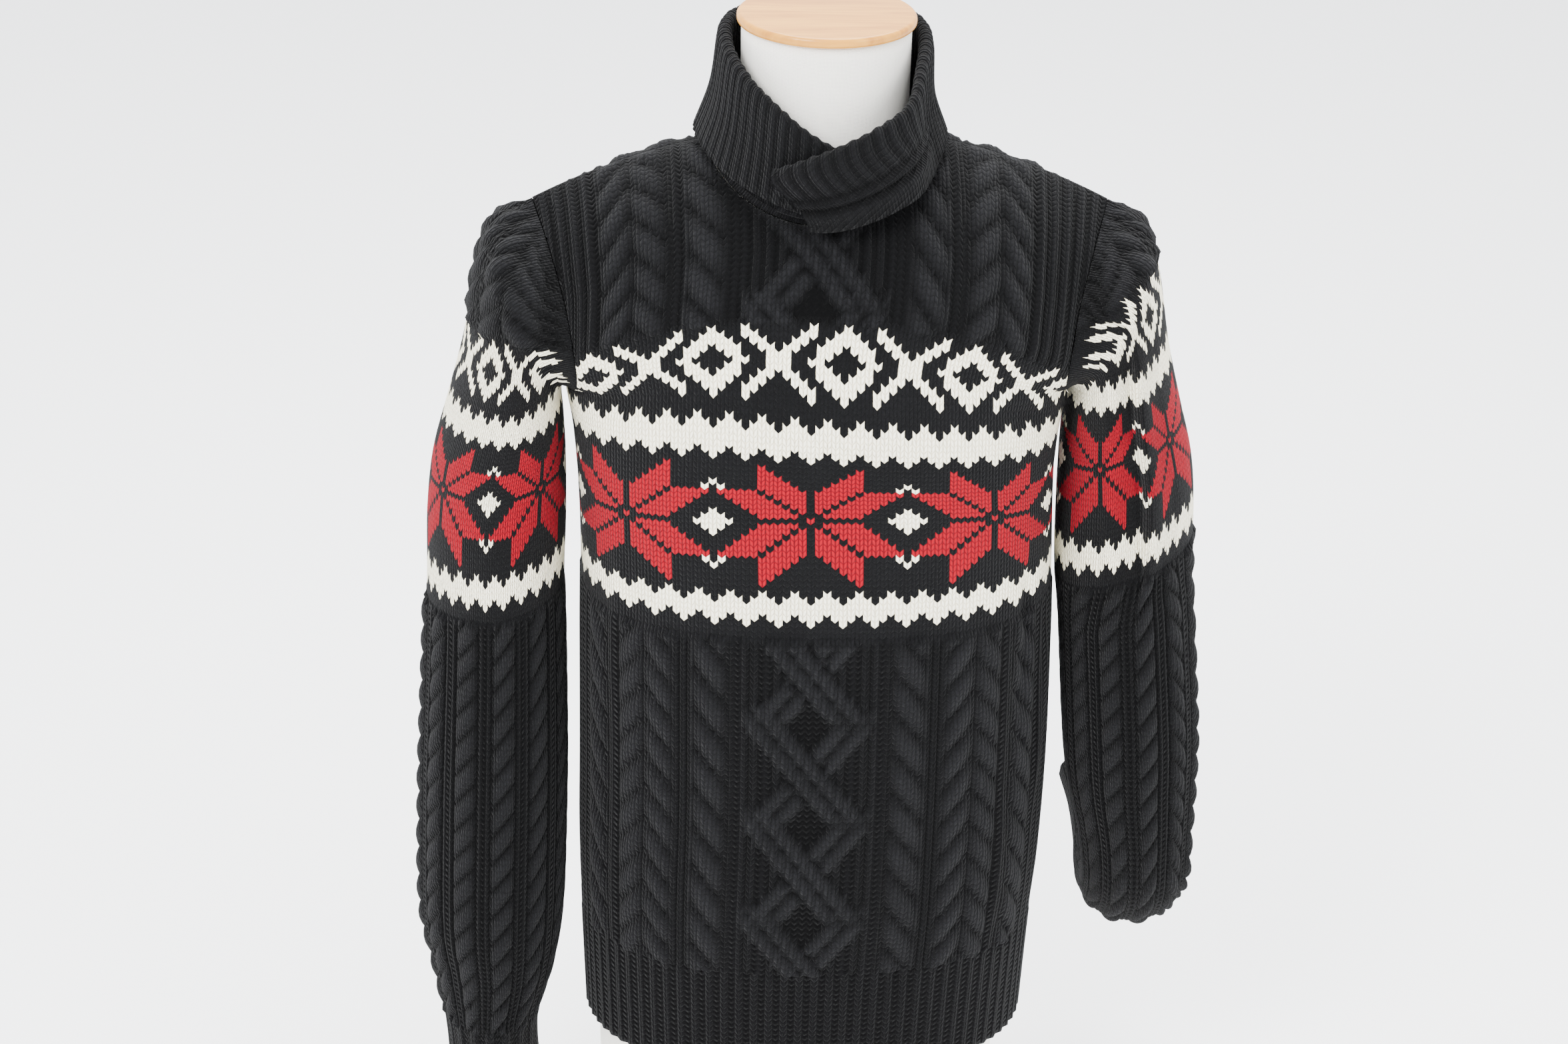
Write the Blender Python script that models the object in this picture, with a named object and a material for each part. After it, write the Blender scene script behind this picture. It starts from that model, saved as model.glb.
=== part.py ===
"""A cable knit pullover standing on a limbless dress form.

Metres, +Z up, the front towards -Y, and the origin at the centre of the form's flat base. The wearer's left is +X.
A place on the knit is given as X stitches out from the centre front or back, and as a row counted up from the row
that the big stars of the band are centred on. Each knitted piece is a wall: a relief of cables and ribs outside,
plain inside.
"""

import math

import bpy
from mathutils import Vector

# Knit gauge, wall and seams
ROW = 0.00454
WALL = 0.003
SEAM_GAP = 0.0003

# Rows that divide the body
HEM_ROW = -101
RIB_TOP_ROW = -82
BAND_BOTTOM_ROW = -20
BAND_TOP_ROW = 34
ARMPIT_ROW = 24
SHOULDER_ROW = 68
ARCH_ROW = 6  # from here up the cloth leans in towards the shoulder seam
SIDE_STITCH = 44.5  # stitches from the centre to the side seam
YOKE_STITCH = 29  # stitches further out than this are cast off round the armhole
YOKE_WIDTH = 0.0061  # width of a stitch in the yoke, which is stretched over the shoulders

# Relief
CABLE_RISE = 0.0032
RIB_RISE = 0.0016
HEM_RIB_RISE = 0.0022
COLLAR_RIB_RISE = 0.0015
ROPE_ROWS = 6
LATTICE_ROWS = 21
LATTICE_HALF = 8.4
LATTICE_ROPE_HALF = 1.9
ROPE_HALF = 2.3
CHEVRON_HALF = 4.3
SIDE_FADE = 8  # stitches from the side seam over which the relief comes in
SEAM_FADE = 2  # rows from the shoulder seam over which it goes out
LEAST_SHARE = 0.15  # of the relief, where the sleeve presses on the side

# What is knitted below and above the band, from the centre out on each side, in stitches
PATTERN_COLUMNS = ("kind", "first", "last")
PATTERN = (
    ("lattice", 0.0, 8.6),
    ("rib", 8.6, 10.6),
    ("rope", 10.6, 15.3),
    ("rib", 15.3, 17.7),
    ("chevrons", 17.7, 26.3),
    ("rib", 26.3, 28.7),
    ("rope", 28.7, 33.3),
    ("side ribs", 33.3, 44.5),
)
YOKE_RIBS_FROM = 26.3  # in the yoke, all ribs from this stitch out

# Body: heights of the cloth at the centre and at the side seam, half width, sideways shift, depth to front and back
BODY_COLUMNS = ("row", "mid_z", "side_z", "half_width", "shift", "front", "back")
BODY = (
    (-101, 0.135, 0.135, 0.1675, 0.004, 0.121, 0.112),
    (-82, 0.221, 0.221, 0.1715, 0.004, 0.126, 0.117),
    (-70, 0.275, 0.274, 0.1745, 0.005, 0.128, 0.116),
    (-52, 0.357, 0.353, 0.1755, 0.006, 0.127, 0.111),
    (-30, 0.457, 0.450, 0.1750, 0.005, 0.128, 0.109),
    (-14, 0.530, 0.518, 0.1740, 0.004, 0.129, 0.111),
    (0, 0.594, 0.572, 0.1740, 0.002, 0.130, 0.114),
    (6, 0.621, 0.593, 0.1745, 0.001, 0.130, 0.115),
)
# Side edge of a body panel above the arch row: height, half width, and its depth as a share of the centre's depth
EDGE_COLUMNS = ("row", "side_z", "half_width", "share")
EDGE = (
    (6, 0.593, 0.1745, 0.0),
    (14, 0.622, 0.1770, 0.0),
    (24, 0.655, 0.1820, 0.0),
    (25, 0.658, 0.1800, 0.22),
    (26.5, 0.662, 0.1765, 0.40),
    (29, 0.669, 0.1740, 0.53),
    (34, 0.685, 0.1745, 0.62),
    (45, 0.724, 0.1810, 0.64),
    (56, 0.762, 0.1925, 0.62),
    (68, 0.790, 0.2050, 0.60),
)
ROUNDNESS = 2.4  # superellipse exponent of the body's sections
SEAM_TOP_Z = 0.8443  # where the shoulder seam's line would cross the centre
NECK_STITCH = 13.9
NECK_DROP = {"front": 21, "back": 16}  # rows scooped out for the neck

# Sleeves: each ring's centre, half width, half depth, tilt of its outer side upwards and pitch backwards, in degrees
RING_COLUMNS = ("x", "y", "z", "half_width", "half_depth", "tilt", "pitch")
UPPER_RINGS = (
    (0.2070, 0.000, 0.7130, 0.0640, 0.0770, 68, 0),
    (0.2140, -0.001, 0.6950, 0.0575, 0.0745, 59, 0),
    (0.2205, -0.003, 0.6560, 0.0455, 0.0700, 41, 0),
    (0.2265, -0.004, 0.6200, 0.0445, 0.0660, 27, 0),
    (0.2315, -0.005, 0.5850, 0.0475, 0.0620, 15, 0),
    (0.2325, -0.006, 0.5480, 0.0500, 0.0590, 7, 0),
    (0.2325, -0.008, 0.5050, 0.0505, 0.0565, 1, 0),
)
HANGING_RINGS = (
    (0.2325, -0.012, 0.4600, 0.0515, 0.0550, 0, 0),
    (0.2335, -0.021, 0.3900, 0.0535, 0.0550, 0, 4),
    (0.2345, -0.028, 0.3350, 0.0545, 0.0545, 0, 6),
    (0.2360, -0.038, 0.2420, 0.0535, 0.0530, 0, 5),
    (0.2345, -0.042, 0.1945, 0.0500, 0.0500, 0, 3),
    (0.2345, -0.045, 0.1470, 0.0430, 0.0440, 0, 2),
    (0.2330, -0.047, 0.1050, 0.0355, 0.0380, 0, 0),
    (0.2330, -0.047, 0.0820, 0.0375, 0.0395, 0, 0),
)
TUCKED_RINGS = (
    (0.2370, -0.011, 0.4600, 0.0500, 0.0540, 0, 0),
    (0.2440, -0.016, 0.3800, 0.0505, 0.0530, 0, 0),
    (0.2475, -0.018, 0.3350, 0.0485, 0.0500, 0, 0),
    (0.2530, -0.019, 0.2890, 0.0430, 0.0440, 0, 4),
    (0.2570, -0.014, 0.2520, 0.0410, 0.0370, 0, 25),
    (0.2580, 0.006, 0.2270, 0.0395, 0.0330, 0, 62),
    (0.2575, 0.036, 0.2200, 0.0380, 0.0330, 0, 95),
    (0.2590, 0.068, 0.2290, 0.0370, 0.0340, 0, 112),
    (0.2570, 0.098, 0.2440, 0.0360, 0.0350, 0, 117),
    (0.2535, 0.124, 0.2570, 0.0370, 0.0360, 0, 117),
)
SLEEVE_CABLES = 12
SLEEVE_ROPE_SHARE = 0.65  # of the way round from one cable to the next; thin ribs fill the rest
SLEEVE_ROPE_ROWS = 5
SLEEVE_BAND_ROWS = 54  # from the armhole down to the end of the sleeve's colour band
CUFF_RIBS = 18
CUFF_ROWS = 15
ARMHOLE_SPREAD = 1.25  # how the sleeve's stitches spread from the armpit to the shoulder
ARMHOLE_GAP = 0.0006
SLEEVE_SEAM_ROWS = 1.5  # the last ring before the armhole seam

# Collar: a strip from the under end, round the back, to the over end. Turn is in degrees from the centre front
COLLAR_COLUMNS = ("turn", "fold_r", "fold_z", "edge_r", "edge_z", "over")
COLLAR = (
    (32, 0.0800, 0.8380, 0.0880, 0.812, 0.0),
    (0, 0.0795, 0.8520, 0.0885, 0.806, 0.0),
    (-40, 0.0755, 0.8840, 0.0900, 0.822, 0.0),
    (-90, 0.0725, 0.9110, 0.0900, 0.842, 0.0),
    (-140, 0.0715, 0.9130, 0.0860, 0.822, 0.0),
    (-180, 0.0705, 0.9130, 0.0820, 0.801, 0.0),
    (-220, 0.0715, 0.9130, 0.0860, 0.822, 0.0),
    (-270, 0.0725, 0.9110, 0.0900, 0.842, 0.0),
    (-300, 0.0740, 0.8980, 0.0900, 0.834, 0.2),
    (-326, 0.0780, 0.8770, 0.0910, 0.818, 1.0),
    (-360, 0.0795, 0.8540, 0.0900, 0.802, 1.0),
    (-386, 0.0800, 0.8360, 0.0880, 0.806, 1.0),
)
COLLAR_RIBS = 48
FOLD_RADIUS = 0.0027
OVER_SHIFT = 0.0125  # the over end lies this far outside the under end
COLLAR_GAP = 0.0010
COLLAR_FOOT = 0.006  # the strip leaves its seam in line with the body's knit for this far

# Dress form: sections of the lower torso, then the shoulders follow the seam
FORM_COLUMNS = ("z", "half_width", "front", "back")
FORM = (
    (0.000, 0.1480, 0.100, 0.100),
    (0.060, 0.1520, 0.102, 0.104),
    (0.120, 0.1535, 0.103, 0.105),
    (0.200, 0.1460, 0.098, 0.100),
    (0.270, 0.1290, 0.088, 0.086),
    (0.330, 0.1200, 0.084, 0.078),
    (0.390, 0.1240, 0.088, 0.079),
    (0.460, 0.1370, 0.099, 0.084),
    (0.540, 0.1480, 0.112, 0.091),
    (0.600, 0.1540, 0.116, 0.095),
    (0.660, 0.1600, 0.112, 0.095),
)
SHOULDER_HEIGHTS = (0.700, 0.740, 0.770, 0.790, 0.804, 0.8135, 0.8205)
FORM_SHOULDER_DEPTH = {"front": 0.052, "back": 0.046}  # at the top; lower down it grows to the chest's
FORM_SHOULDER_HALF = 0.176
SEAT_GAP = 0.00095  # cloth over the form's shoulders
NECK_HALF = 0.0597
NECK_DEPTH = 0.054
NECK_SHIFT = -0.004
FLARE_COLUMNS = ("z", "half_width")
FLARE = (
    (0.8245, 0.1030),
    (0.8275, 0.0880),
    (0.8320, 0.0745),
    (0.8410, 0.0635),
    (0.8540, NECK_HALF),
    (0.9195, NECK_HALF),
)
CAP_RADIUS = 0.063
CAP_THICK = 0.0075
CAP_ROUND = 0.0032
FORM_SIDES = 24


def curve(keys, values, at):
    """A smooth curve through the values at the keys, which rise or fall throughout."""
    if keys[0] > keys[-1]:
        keys = keys[::-1]
        values = values[::-1]
    at = min(max(at, keys[0]), keys[-1])
    i = max(k for k in range(len(keys) - 1) if keys[k] <= at)
    span = keys[i + 1] - keys[i]
    t = (at - keys[i]) / span

    def slope(k):
        before = max(k - 1, 0)
        after = min(k + 1, len(keys) - 1)
        return (values[after] - values[before]) / (keys[after] - keys[before])

    start, end = values[i], values[i + 1]
    return (
        start * (1 + 2 * t) * (1 - t) ** 2
        + end * t * t * (3 - 2 * t)
        + span * (slope(i) * t * (1 - t) ** 2 - slope(i + 1) * t * t * (1 - t))
    )


def read(table, columns, name, at):
    """The value of the named column at a place along the table's first column."""
    c = columns.index(name)
    return curve([row[0] for row in table], [row[c] for row in table], at)


def arch_angle(depth, share):
    """Angle on the quarter ellipse from chest to shoulder seam at this share of its length."""
    height = SEAM_TOP_Z - read(BODY, BODY_COLUMNS, "mid_z", ARCH_ROW)
    steps = 60
    lengths = [0.0]
    for i in range(steps):
        a = (i + 0.5) / steps * math.pi / 2
        lengths.append(lengths[-1] + math.hypot(depth * math.sin(a), height * math.cos(a)))
    wanted = share * lengths[-1]
    i = max(k for k in range(steps) if lengths[k] <= wanted)
    part = (wanted - lengths[i]) / (lengths[i + 1] - lengths[i])
    return (i + min(part, 1.0)) / steps * math.pi / 2


def section(side, row):
    """Sizes of the body's cloth at this row: centre height, side height, half width, shift, depth and edge share."""
    if row <= ARCH_ROW:
        names = ("mid_z", "side_z", "half_width", "shift", side)
        return [read(BODY, BODY_COLUMNS, name, row) for name in names] + [0.0]
    depth = read(BODY, BODY_COLUMNS, side, ARCH_ROW)
    base = read(BODY, BODY_COLUMNS, "mid_z", ARCH_ROW)
    angle = arch_angle(depth, (row - ARCH_ROW) / (SHOULDER_ROW - ARCH_ROW))
    mid_z = base + (SEAM_TOP_Z - base) * math.sin(angle)
    side_z, half_width, share = (read(EDGE, EDGE_COLUMNS, name, row) for name in EDGE_COLUMNS[1:])
    shift = read(BODY, BODY_COLUMNS, "shift", ARCH_ROW) * max(0.0, 1 - (row - ARCH_ROW) / 18)
    return [mid_z, side_z, half_width, shift, depth * math.cos(angle), max(share, 0.0)]


SECTION_STEPS = 48
section_lines = {}


def section_place(sizes, angle):
    """A place on a section with these sizes, at this angle of its superellipse: x, y without its sign, and z."""
    mid_z, side_z, half_width, _, depth, share = sizes
    reach = (1 - share**ROUNDNESS) ** (1 / ROUNDNESS)
    x = half_width / reach * max(0.0, math.sin(angle)) ** (2 / ROUNDNESS)
    y = depth * max(0.0, math.cos(angle)) ** (2 / ROUNDNESS)
    return Vector((x, y, mid_z + (side_z - mid_z) * (x / half_width) ** 2))


def last_angle(sizes):
    """The superellipse angle where the section meets its side seam or armhole."""
    reach = (1 - sizes[5] ** ROUNDNESS) ** (1 / ROUNDNESS)
    return math.asin(min(reach ** (ROUNDNESS / 2), 1.0))


def section_line(side, row):
    """(sizes, points, lengths) of the cloth's section at this row, from the centre out to the +X side."""
    key = (side, round(row, 4))
    if key not in section_lines:
        sizes = section(side, row)
        last = last_angle(sizes)
        points = [section_place(sizes, i / SECTION_STEPS * last) for i in range(SECTION_STEPS + 1)]
        lengths = [0.0]
        for p, q in zip(points, points[1:]):
            lengths.append(lengths[-1] + (q - p).length)
        section_lines[key] = (sizes, points, lengths)
    return section_lines[key]


def stitch_width(side, row):
    """Width of a stitch at this row."""
    if row <= ARMPIT_ROW:
        return section_line(side, row)[2][-1] / SIDE_STITCH
    widened = min((row - ARMPIT_ROW) / 12, 1.0)
    width = section_line(side, ARMPIT_ROW)[2][-1] / SIDE_STITCH
    return width + (YOKE_WIDTH - width) * widened


def along_section(side, stitch, row):
    """Distance along the section from the centre to this stitch."""
    width = stitch_width(side, row)
    if stitch <= YOKE_STITCH:
        return stitch * width
    whole = section_line(side, row)[2][-1]
    share = (stitch - YOKE_STITCH) / (SIDE_STITCH - YOKE_STITCH)
    return YOKE_STITCH * width + share * (whole - YOKE_STITCH * width)


def section_index(side, stitch, row):
    """Where this stitch lies among the section's points, as a whole index and a part."""
    lengths = section_line(side, row)[2]
    wanted = min(along_section(side, abs(stitch), row), lengths[-1])
    i = max(k for k in range(SECTION_STEPS) if lengths[k] <= wanted)
    return i, min((wanted - lengths[i]) / (lengths[i + 1] - lengths[i]), 1.0)


def body_point(side, stitch, row):
    """The knit's outer face, before its relief. side is front or back."""
    sizes, points, _ = section_line(side, row)
    i, part = section_index(side, stitch, row)
    x, y, z = points[i].lerp(points[i + 1], part)
    towards = -1 if side == "front" else 1
    return Vector((math.copysign(x, stitch) + sizes[3], towards * (y + SEAM_GAP / 2), z))


def body_normal(side, stitch, row):
    """Outward direction of the knit."""
    sizes, points, _ = section_line(side, row)
    i, part = section_index(side, stitch, row)
    angle = (i + part) / SECTION_STEPS * last_angle(sizes)
    step = 0.4
    above = section_place(section(side, min(row + step, SHOULDER_ROW)), angle)
    below = section_place(section(side, max(row - step, HEM_ROW)), angle)
    across = points[min(i + 1 + round(part), SECTION_STEPS)] - points[max(i - 1 + round(part), 0)]
    normal = (above - below).cross(across)
    if abs(stitch) > SIDE_STITCH - 0.01 and row < ARMPIT_ROW:
        normal.y = 0
    if row > SHOULDER_ROW - 0.01:
        normal.y = 0
    normal.normalize()
    towards = -1 if side == "front" else 1
    return Vector((math.copysign(normal.x, stitch) if stitch else 0.0, towards * normal.y, normal.z))


def rope(across, row, half, rows, lean):
    """Height of a rope cable, from 0 to 1: a round ridge with slanting grooves."""
    if abs(across) >= half:
        return 0.0
    twist = abs(math.sin(math.pi * (row / rows - lean * across / (2 * half))))
    return math.sqrt(1 - (across / half) ** 2) * (0.45 + 0.55 * twist**0.7)


def chevrons(across, row, half, rows):
    """Height of a cable of nested inverted Vs, from 0 to 1."""
    if abs(across) >= half:
        return 0.0
    twist = abs(math.sin(math.pi * (row / rows + abs(across) / half)))
    return (0.35 + 0.65 * twist) * min(1.0, 3 * (1 - abs(across) / half))


def lattice(across, row):
    """Height of the centre panel, from 0 to 1: ropes that part and cross in diamonds."""
    phase = (row / LATTICE_ROWS) % 1.0
    outer = LATTICE_HALF * (1 - abs(2 * phase - 1))
    inner = LATTICE_HALF - outer
    near = min(abs(abs(across) - outer), abs(abs(across) - inner))
    return max(0.0, 1 - (near / LATTICE_ROPE_HALF) ** 2)


def rib(across, period=2.0):
    return 0.5 + 0.5 * math.cos(2 * math.pi * across / period)


def body_relief(stitch, row):
    """How far the knit of the body stands out at this stitch and row."""
    a = abs(stitch)
    lean = 1 if stitch > 0 else -1
    if row <= RIB_TOP_ROW or BAND_BOTTOM_ROW <= row <= BAND_TOP_ROW:
        return 0.0
    end = PATTERN_COLUMNS.index("last")
    kind, first, last = next((line for line in PATTERN if a < line[end]), PATTERN[-1])
    across = a - (first + last) / 2
    if kind == "lattice":
        return CABLE_RISE * lattice(a, row)
    if kind == "rib" or (row > BAND_TOP_ROW and a >= YOKE_RIBS_FROM):
        return RIB_RISE * rib(across)
    if kind == "rope":
        return CABLE_RISE * rope(across, row, ROPE_HALF, ROPE_ROWS, lean)
    if kind == "chevrons":
        return CABLE_RISE * chevrons(across, row, CHEVRON_HALF, ROPE_ROWS)
    return 0.5 * RIB_RISE * rib(across)


# The outer grid's columns sit on the crests and in the valleys of the cables and ribs
INNER_CABLES = (0, 2.1, 4.2, 6.3, 8.6, 10.6, 12.1, 13.3, NECK_STITCH, 15.3, 17.7)
OUTER_CABLES = (19.6, 22, 24.4, 26.3, 28.7, 30.2, 31.8, 33.3, 38, SIDE_STITCH)
HALF_COLUMNS = INNER_CABLES + OUTER_CABLES
LEFT_OUT = (2.1, 15.3, 19.6, 24.4, 28.7, 31.8)
INNER_HALF = tuple(s for s in HALF_COLUMNS if s not in LEFT_OUT)  # the plain inside needs fewer
COLUMNS = tuple(-s for s in HALF_COLUMNS[:0:-1]) + HALF_COLUMNS
INNER_COLUMNS = tuple(-s for s in INNER_HALF[:0:-1]) + INNER_HALF
CABLE_STEP = 3
LOWER_ROWS = tuple(range(RIB_TOP_ROW + 1, BAND_BOTTOM_ROW, CABLE_STEP))
BAND_ROWS = (BAND_BOTTOM_ROW, -10, 1, 12, 20, 24, 25, 26.5, 29)
INNER_BAND_ROWS = (-10, 12, 24, 25, 26.5, 29)
YOKE_ROWS = tuple(range(BAND_TOP_ROW, SHOULDER_ROW, CABLE_STEP))
OUTER_ROWS = LOWER_ROWS + BAND_ROWS + YOKE_ROWS + (SHOULDER_ROW,)
INNER_YOKE_ROWS = YOKE_ROWS[::2] + YOKE_ROWS[-1:]
INNER_ROWS = LOWER_ROWS[3::5] + INNER_BAND_ROWS + INNER_YOKE_ROWS + (SHOULDER_ROW,)
HEM_ROWS = (HEM_ROW, RIB_TOP_ROW - 0.6)
SCOOP_ROW = 37  # from here up the rows crowd together under the neck


def neck_row(side, stitch):
    """Row at which the panel ends above this stitch."""
    a = abs(stitch) / NECK_STITCH
    return SHOULDER_ROW - NECK_DROP[side] * math.sqrt(1 - a * a) if a < 1 else SHOULDER_ROW


def scooped(side, stitch, row):
    """The row moved down so that the panel's top row lies on the neckline."""
    if row <= SCOOP_ROW:
        return row
    share = (row - SCOOP_ROW) / (SHOULDER_ROW - SCOOP_ROW)
    return SCOOP_ROW + share * (neck_row(side, stitch) - SCOOP_ROW)


class Shell:
    """Vertices and faces of one closed wall."""

    def __init__(self):
        self.points = []
        self.faces = []

    def line(self, points):
        first = len(self.points)
        self.points.extend(points)
        return list(range(first, len(self.points)))

    def sheet(self, lines, flip=False):
        """Quads between lines of vertices that have the same count."""
        for low, high in zip(lines, lines[1:]):
            for i in range(len(low) - 1):
                face = (low[i], low[i + 1], high[i + 1], high[i])
                self.faces.append(face[::-1] if flip else face)

    def zip(self, low, low_at, high, high_at, flip=False, backwards=False):
        """Triangles between two lines with different counts, each with its places along the seam.

        backwards works from the far end, which turns the diagonals to match those of a neighbour's rim.
        """
        if backwards:
            low, high, flip = low[::-1], high[::-1], not flip
            low_at, high_at = [-at for at in low_at[::-1]], [-at for at in high_at[::-1]]
        i = j = 0
        while i < len(low) - 1 or j < len(high) - 1:
            step_low = j == len(high) - 1 or (i < len(low) - 1 and low_at[i + 1] <= high_at[j + 1])
            if step_low:
                face = (low[i], low[i + 1], high[j])
                i += 1
            else:
                face = (low[i], high[j + 1], high[j])
                j += 1
            self.faces.append(face[::-1] if flip else face)

    def build(self, name, material):
        mesh = bpy.data.meshes.new(name)
        mesh.from_pydata([tuple(p) for p in self.points], [], self.faces)
        mesh.validate()
        obj = bpy.data.objects.new(name, mesh)
        obj.data.materials.append(material)
        bpy.context.scene.collection.objects.link(obj)
        return obj


def wool_material(name, colour):
    material = bpy.data.materials.new(name)
    material.use_nodes = True
    shader = material.node_tree.nodes["Principled BSDF"]
    shader.inputs["Base Color"].default_value = (*colour, 1)
    shader.inputs["Roughness"].default_value = 0.9
    return material


def edge_squeeze(stitch, row):
    """Relief is flattened where the sleeve presses on the side, and towards each edge of a panel."""
    side = min(1.0, max(LEAST_SHARE, (SIDE_STITCH - abs(stitch)) / SIDE_FADE))
    top = min(1.0, max(0.0, (SHOULDER_ROW - row) / SEAM_FADE))
    return side * top


def panel(side, material):
    """The front or the back of the body."""
    shell = Shell()
    flip = side == "back"

    def face_line(columns, row, hem=False):
        points = []
        for stitch in columns:
            at = scooped(side, stitch, row)
            if hem:
                rise = HEM_RIB_RISE * rib(stitch) * edge_squeeze(stitch, at)
            else:
                rise = body_relief(stitch, at) * edge_squeeze(stitch, at)
                if row == SHOULDER_ROW:
                    rise = 0.0
            points.append(body_point(side, stitch, at) + rise * body_normal(side, stitch, at))
        return shell.line(points)

    def back_line(columns, row):
        points = []
        for stitch in columns:
            at = scooped(side, stitch, row)
            points.append(body_point(side, stitch, at) - WALL * body_normal(side, stitch, at))
        return shell.line(points)

    ribs = tuple(range(-44, 45))
    hem_columns = (-SIDE_STITCH,) + ribs + (SIDE_STITCH,)
    hem = [face_line(hem_columns, row, hem=True) for row in HEM_ROWS]
    outer = [face_line(COLUMNS, row) for row in OUTER_ROWS]
    inner_rows = (HEM_ROW,) + INNER_ROWS
    inner = [back_line(INNER_COLUMNS, row) for row in inner_rows]
    shell.sheet(hem, flip)
    shell.zip(hem[-1], hem_columns, outer[0], COLUMNS, flip)
    shell.sheet(outer, flip)
    shell.sheet(inner, not flip)
    shell.zip(inner[0], INNER_COLUMNS, hem[0], hem_columns, flip)
    shell.zip(outer[-1], COLUMNS, inner[-1], INNER_COLUMNS, flip, backwards=side == "back")
    rows = HEM_ROWS + OUTER_ROWS
    for end in (0, -1):
        face_edge = [line[end] for line in hem + outer]
        back_edge = [line[end] for line in inner]
        shell.zip(face_edge, rows, back_edge, inner_rows, flip != (end == -1), backwards=side == "back")
    return shell.build(side, material)


def panel_edge(side, row):
    """(outer point, inner point, direction out of the panel) at the armhole on the +X side."""
    outer = body_point(side, SIDE_STITCH, row)
    normal = body_normal(side, SIDE_STITCH, row)
    before = body_point(side, SIDE_STITCH, max(row - 0.5, ARMPIT_ROW))
    after = body_point(side, SIDE_STITCH, min(row + 0.5, SHOULDER_ROW))
    away = (after - before).cross(normal).normalized()
    if side == "back":
        away = -away
    return outer, outer - WALL * normal, away


def armhole_row(around):
    """The body row where the armhole is met. around runs from 0 at the armpit, by the front, to 1."""
    share = 1 - abs(1 - 2 * around)
    return ARMPIT_ROW + (SHOULDER_ROW - ARMPIT_ROW) * share**ARMHOLE_SPREAD


def armhole_place(side, row):
    """The place around the sleeve that meets this row of the body."""
    share = ((row - ARMPIT_ROW) / (SHOULDER_ROW - ARMPIT_ROW)) ** (1 / ARMHOLE_SPREAD)
    return share / 2 if side == "front" else 1 - share / 2


def armhole(around):
    """(outer, inner, direction) of the armhole seam at a place around the sleeve."""
    side = "front" if around <= 0.5 else "back"
    row = min(max(armhole_row(around), ARMPIT_ROW + 0.02), SHOULDER_ROW - 0.02)
    return panel_edge(side, row)


def ring_point(ring, around):
    """A point on a sleeve ring. around is 0 at the inner line, 0.25 at the front and 0.5 at the outer line."""
    named = dict(zip(RING_COLUMNS, ring))
    a = 2 * math.pi * around
    tilt, pitch = math.radians(named["tilt"]), math.radians(named["pitch"])
    out = named["half_width"] * Vector((math.cos(tilt), 0, math.sin(tilt)))
    deep = named["half_depth"] * Vector((0, math.cos(pitch), math.sin(pitch)))
    centre = Vector((named["x"], named["y"], named["z"]))
    return centre - math.cos(a) * out - math.sin(a) * deep


def sleeve_line(rings, around):
    """Points down the sleeve at one place around it, from the armhole to the cuff."""
    outer, _, away = armhole(around)
    start = outer + ARMHOLE_GAP * away
    return [start] + [ring_point(ring, around) for ring in rings]


def sleeve_point(lines, around, station):
    """The sleeve's outer face, before its relief, at a place around and a fractional ring number."""
    key = round(around % 1.0, 5)
    if key not in lines["cache"]:
        lines["cache"][key] = sleeve_line(lines["rings"], key)
    line = lines["cache"][key]
    keys = list(range(len(line)))
    return Vector([curve(keys, [p[axis] for p in line], station) for axis in range(3)])


def sleeve_normal(lines, around, station):
    if station < 0.02:
        outer, inner, _ = armhole(around % 1.0)
        return (outer - inner).normalized()
    step = 0.02
    last = len(lines["rings"])
    down = sleeve_point(lines, around, min(station + step, last))
    down -= sleeve_point(lines, around, max(station - step, 0))
    across = sleeve_point(lines, around + 0.01, station) - sleeve_point(lines, around - 0.01, station)
    return down.cross(across).normalized()


def sleeve_relief(around, row, rows):
    """Relief of the sleeve: rope cables divided by thin ribs. row counts up from the cuff's end."""
    if row < CUFF_ROWS or row > rows - SLEEVE_BAND_ROWS:
        return 0.0
    across = (around * SLEEVE_CABLES) % 1.0 - 0.5
    if abs(across) < SLEEVE_ROPE_SHARE / 2:
        return CABLE_RISE * rope(across, row, SLEEVE_ROPE_SHARE / 2, SLEEVE_ROPE_ROWS, 1)
    return 0.4 * RIB_RISE


def seam_ring_places(rows):
    """Places around the sleeve that meet the body panels' own rows, from the armpit by the front."""
    above = [row for row in rows if row >= ARMPIT_ROW]
    front = [armhole_place("front", row) for row in above]
    back = [armhole_place("back", row) for row in reversed(above[1:])]
    return front + back


def seam_line(shell, places, face, mirror):
    """The sleeve's line along the armhole, on its outer face (0) or its inner face (1)."""
    points = []
    for around in places:
        edge = armhole(around)
        point = edge[face] + ARMHOLE_GAP * edge[2]
        points.append(Vector((mirror * point.x, point.y, point.z)))
    return shell.line(points)


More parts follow.
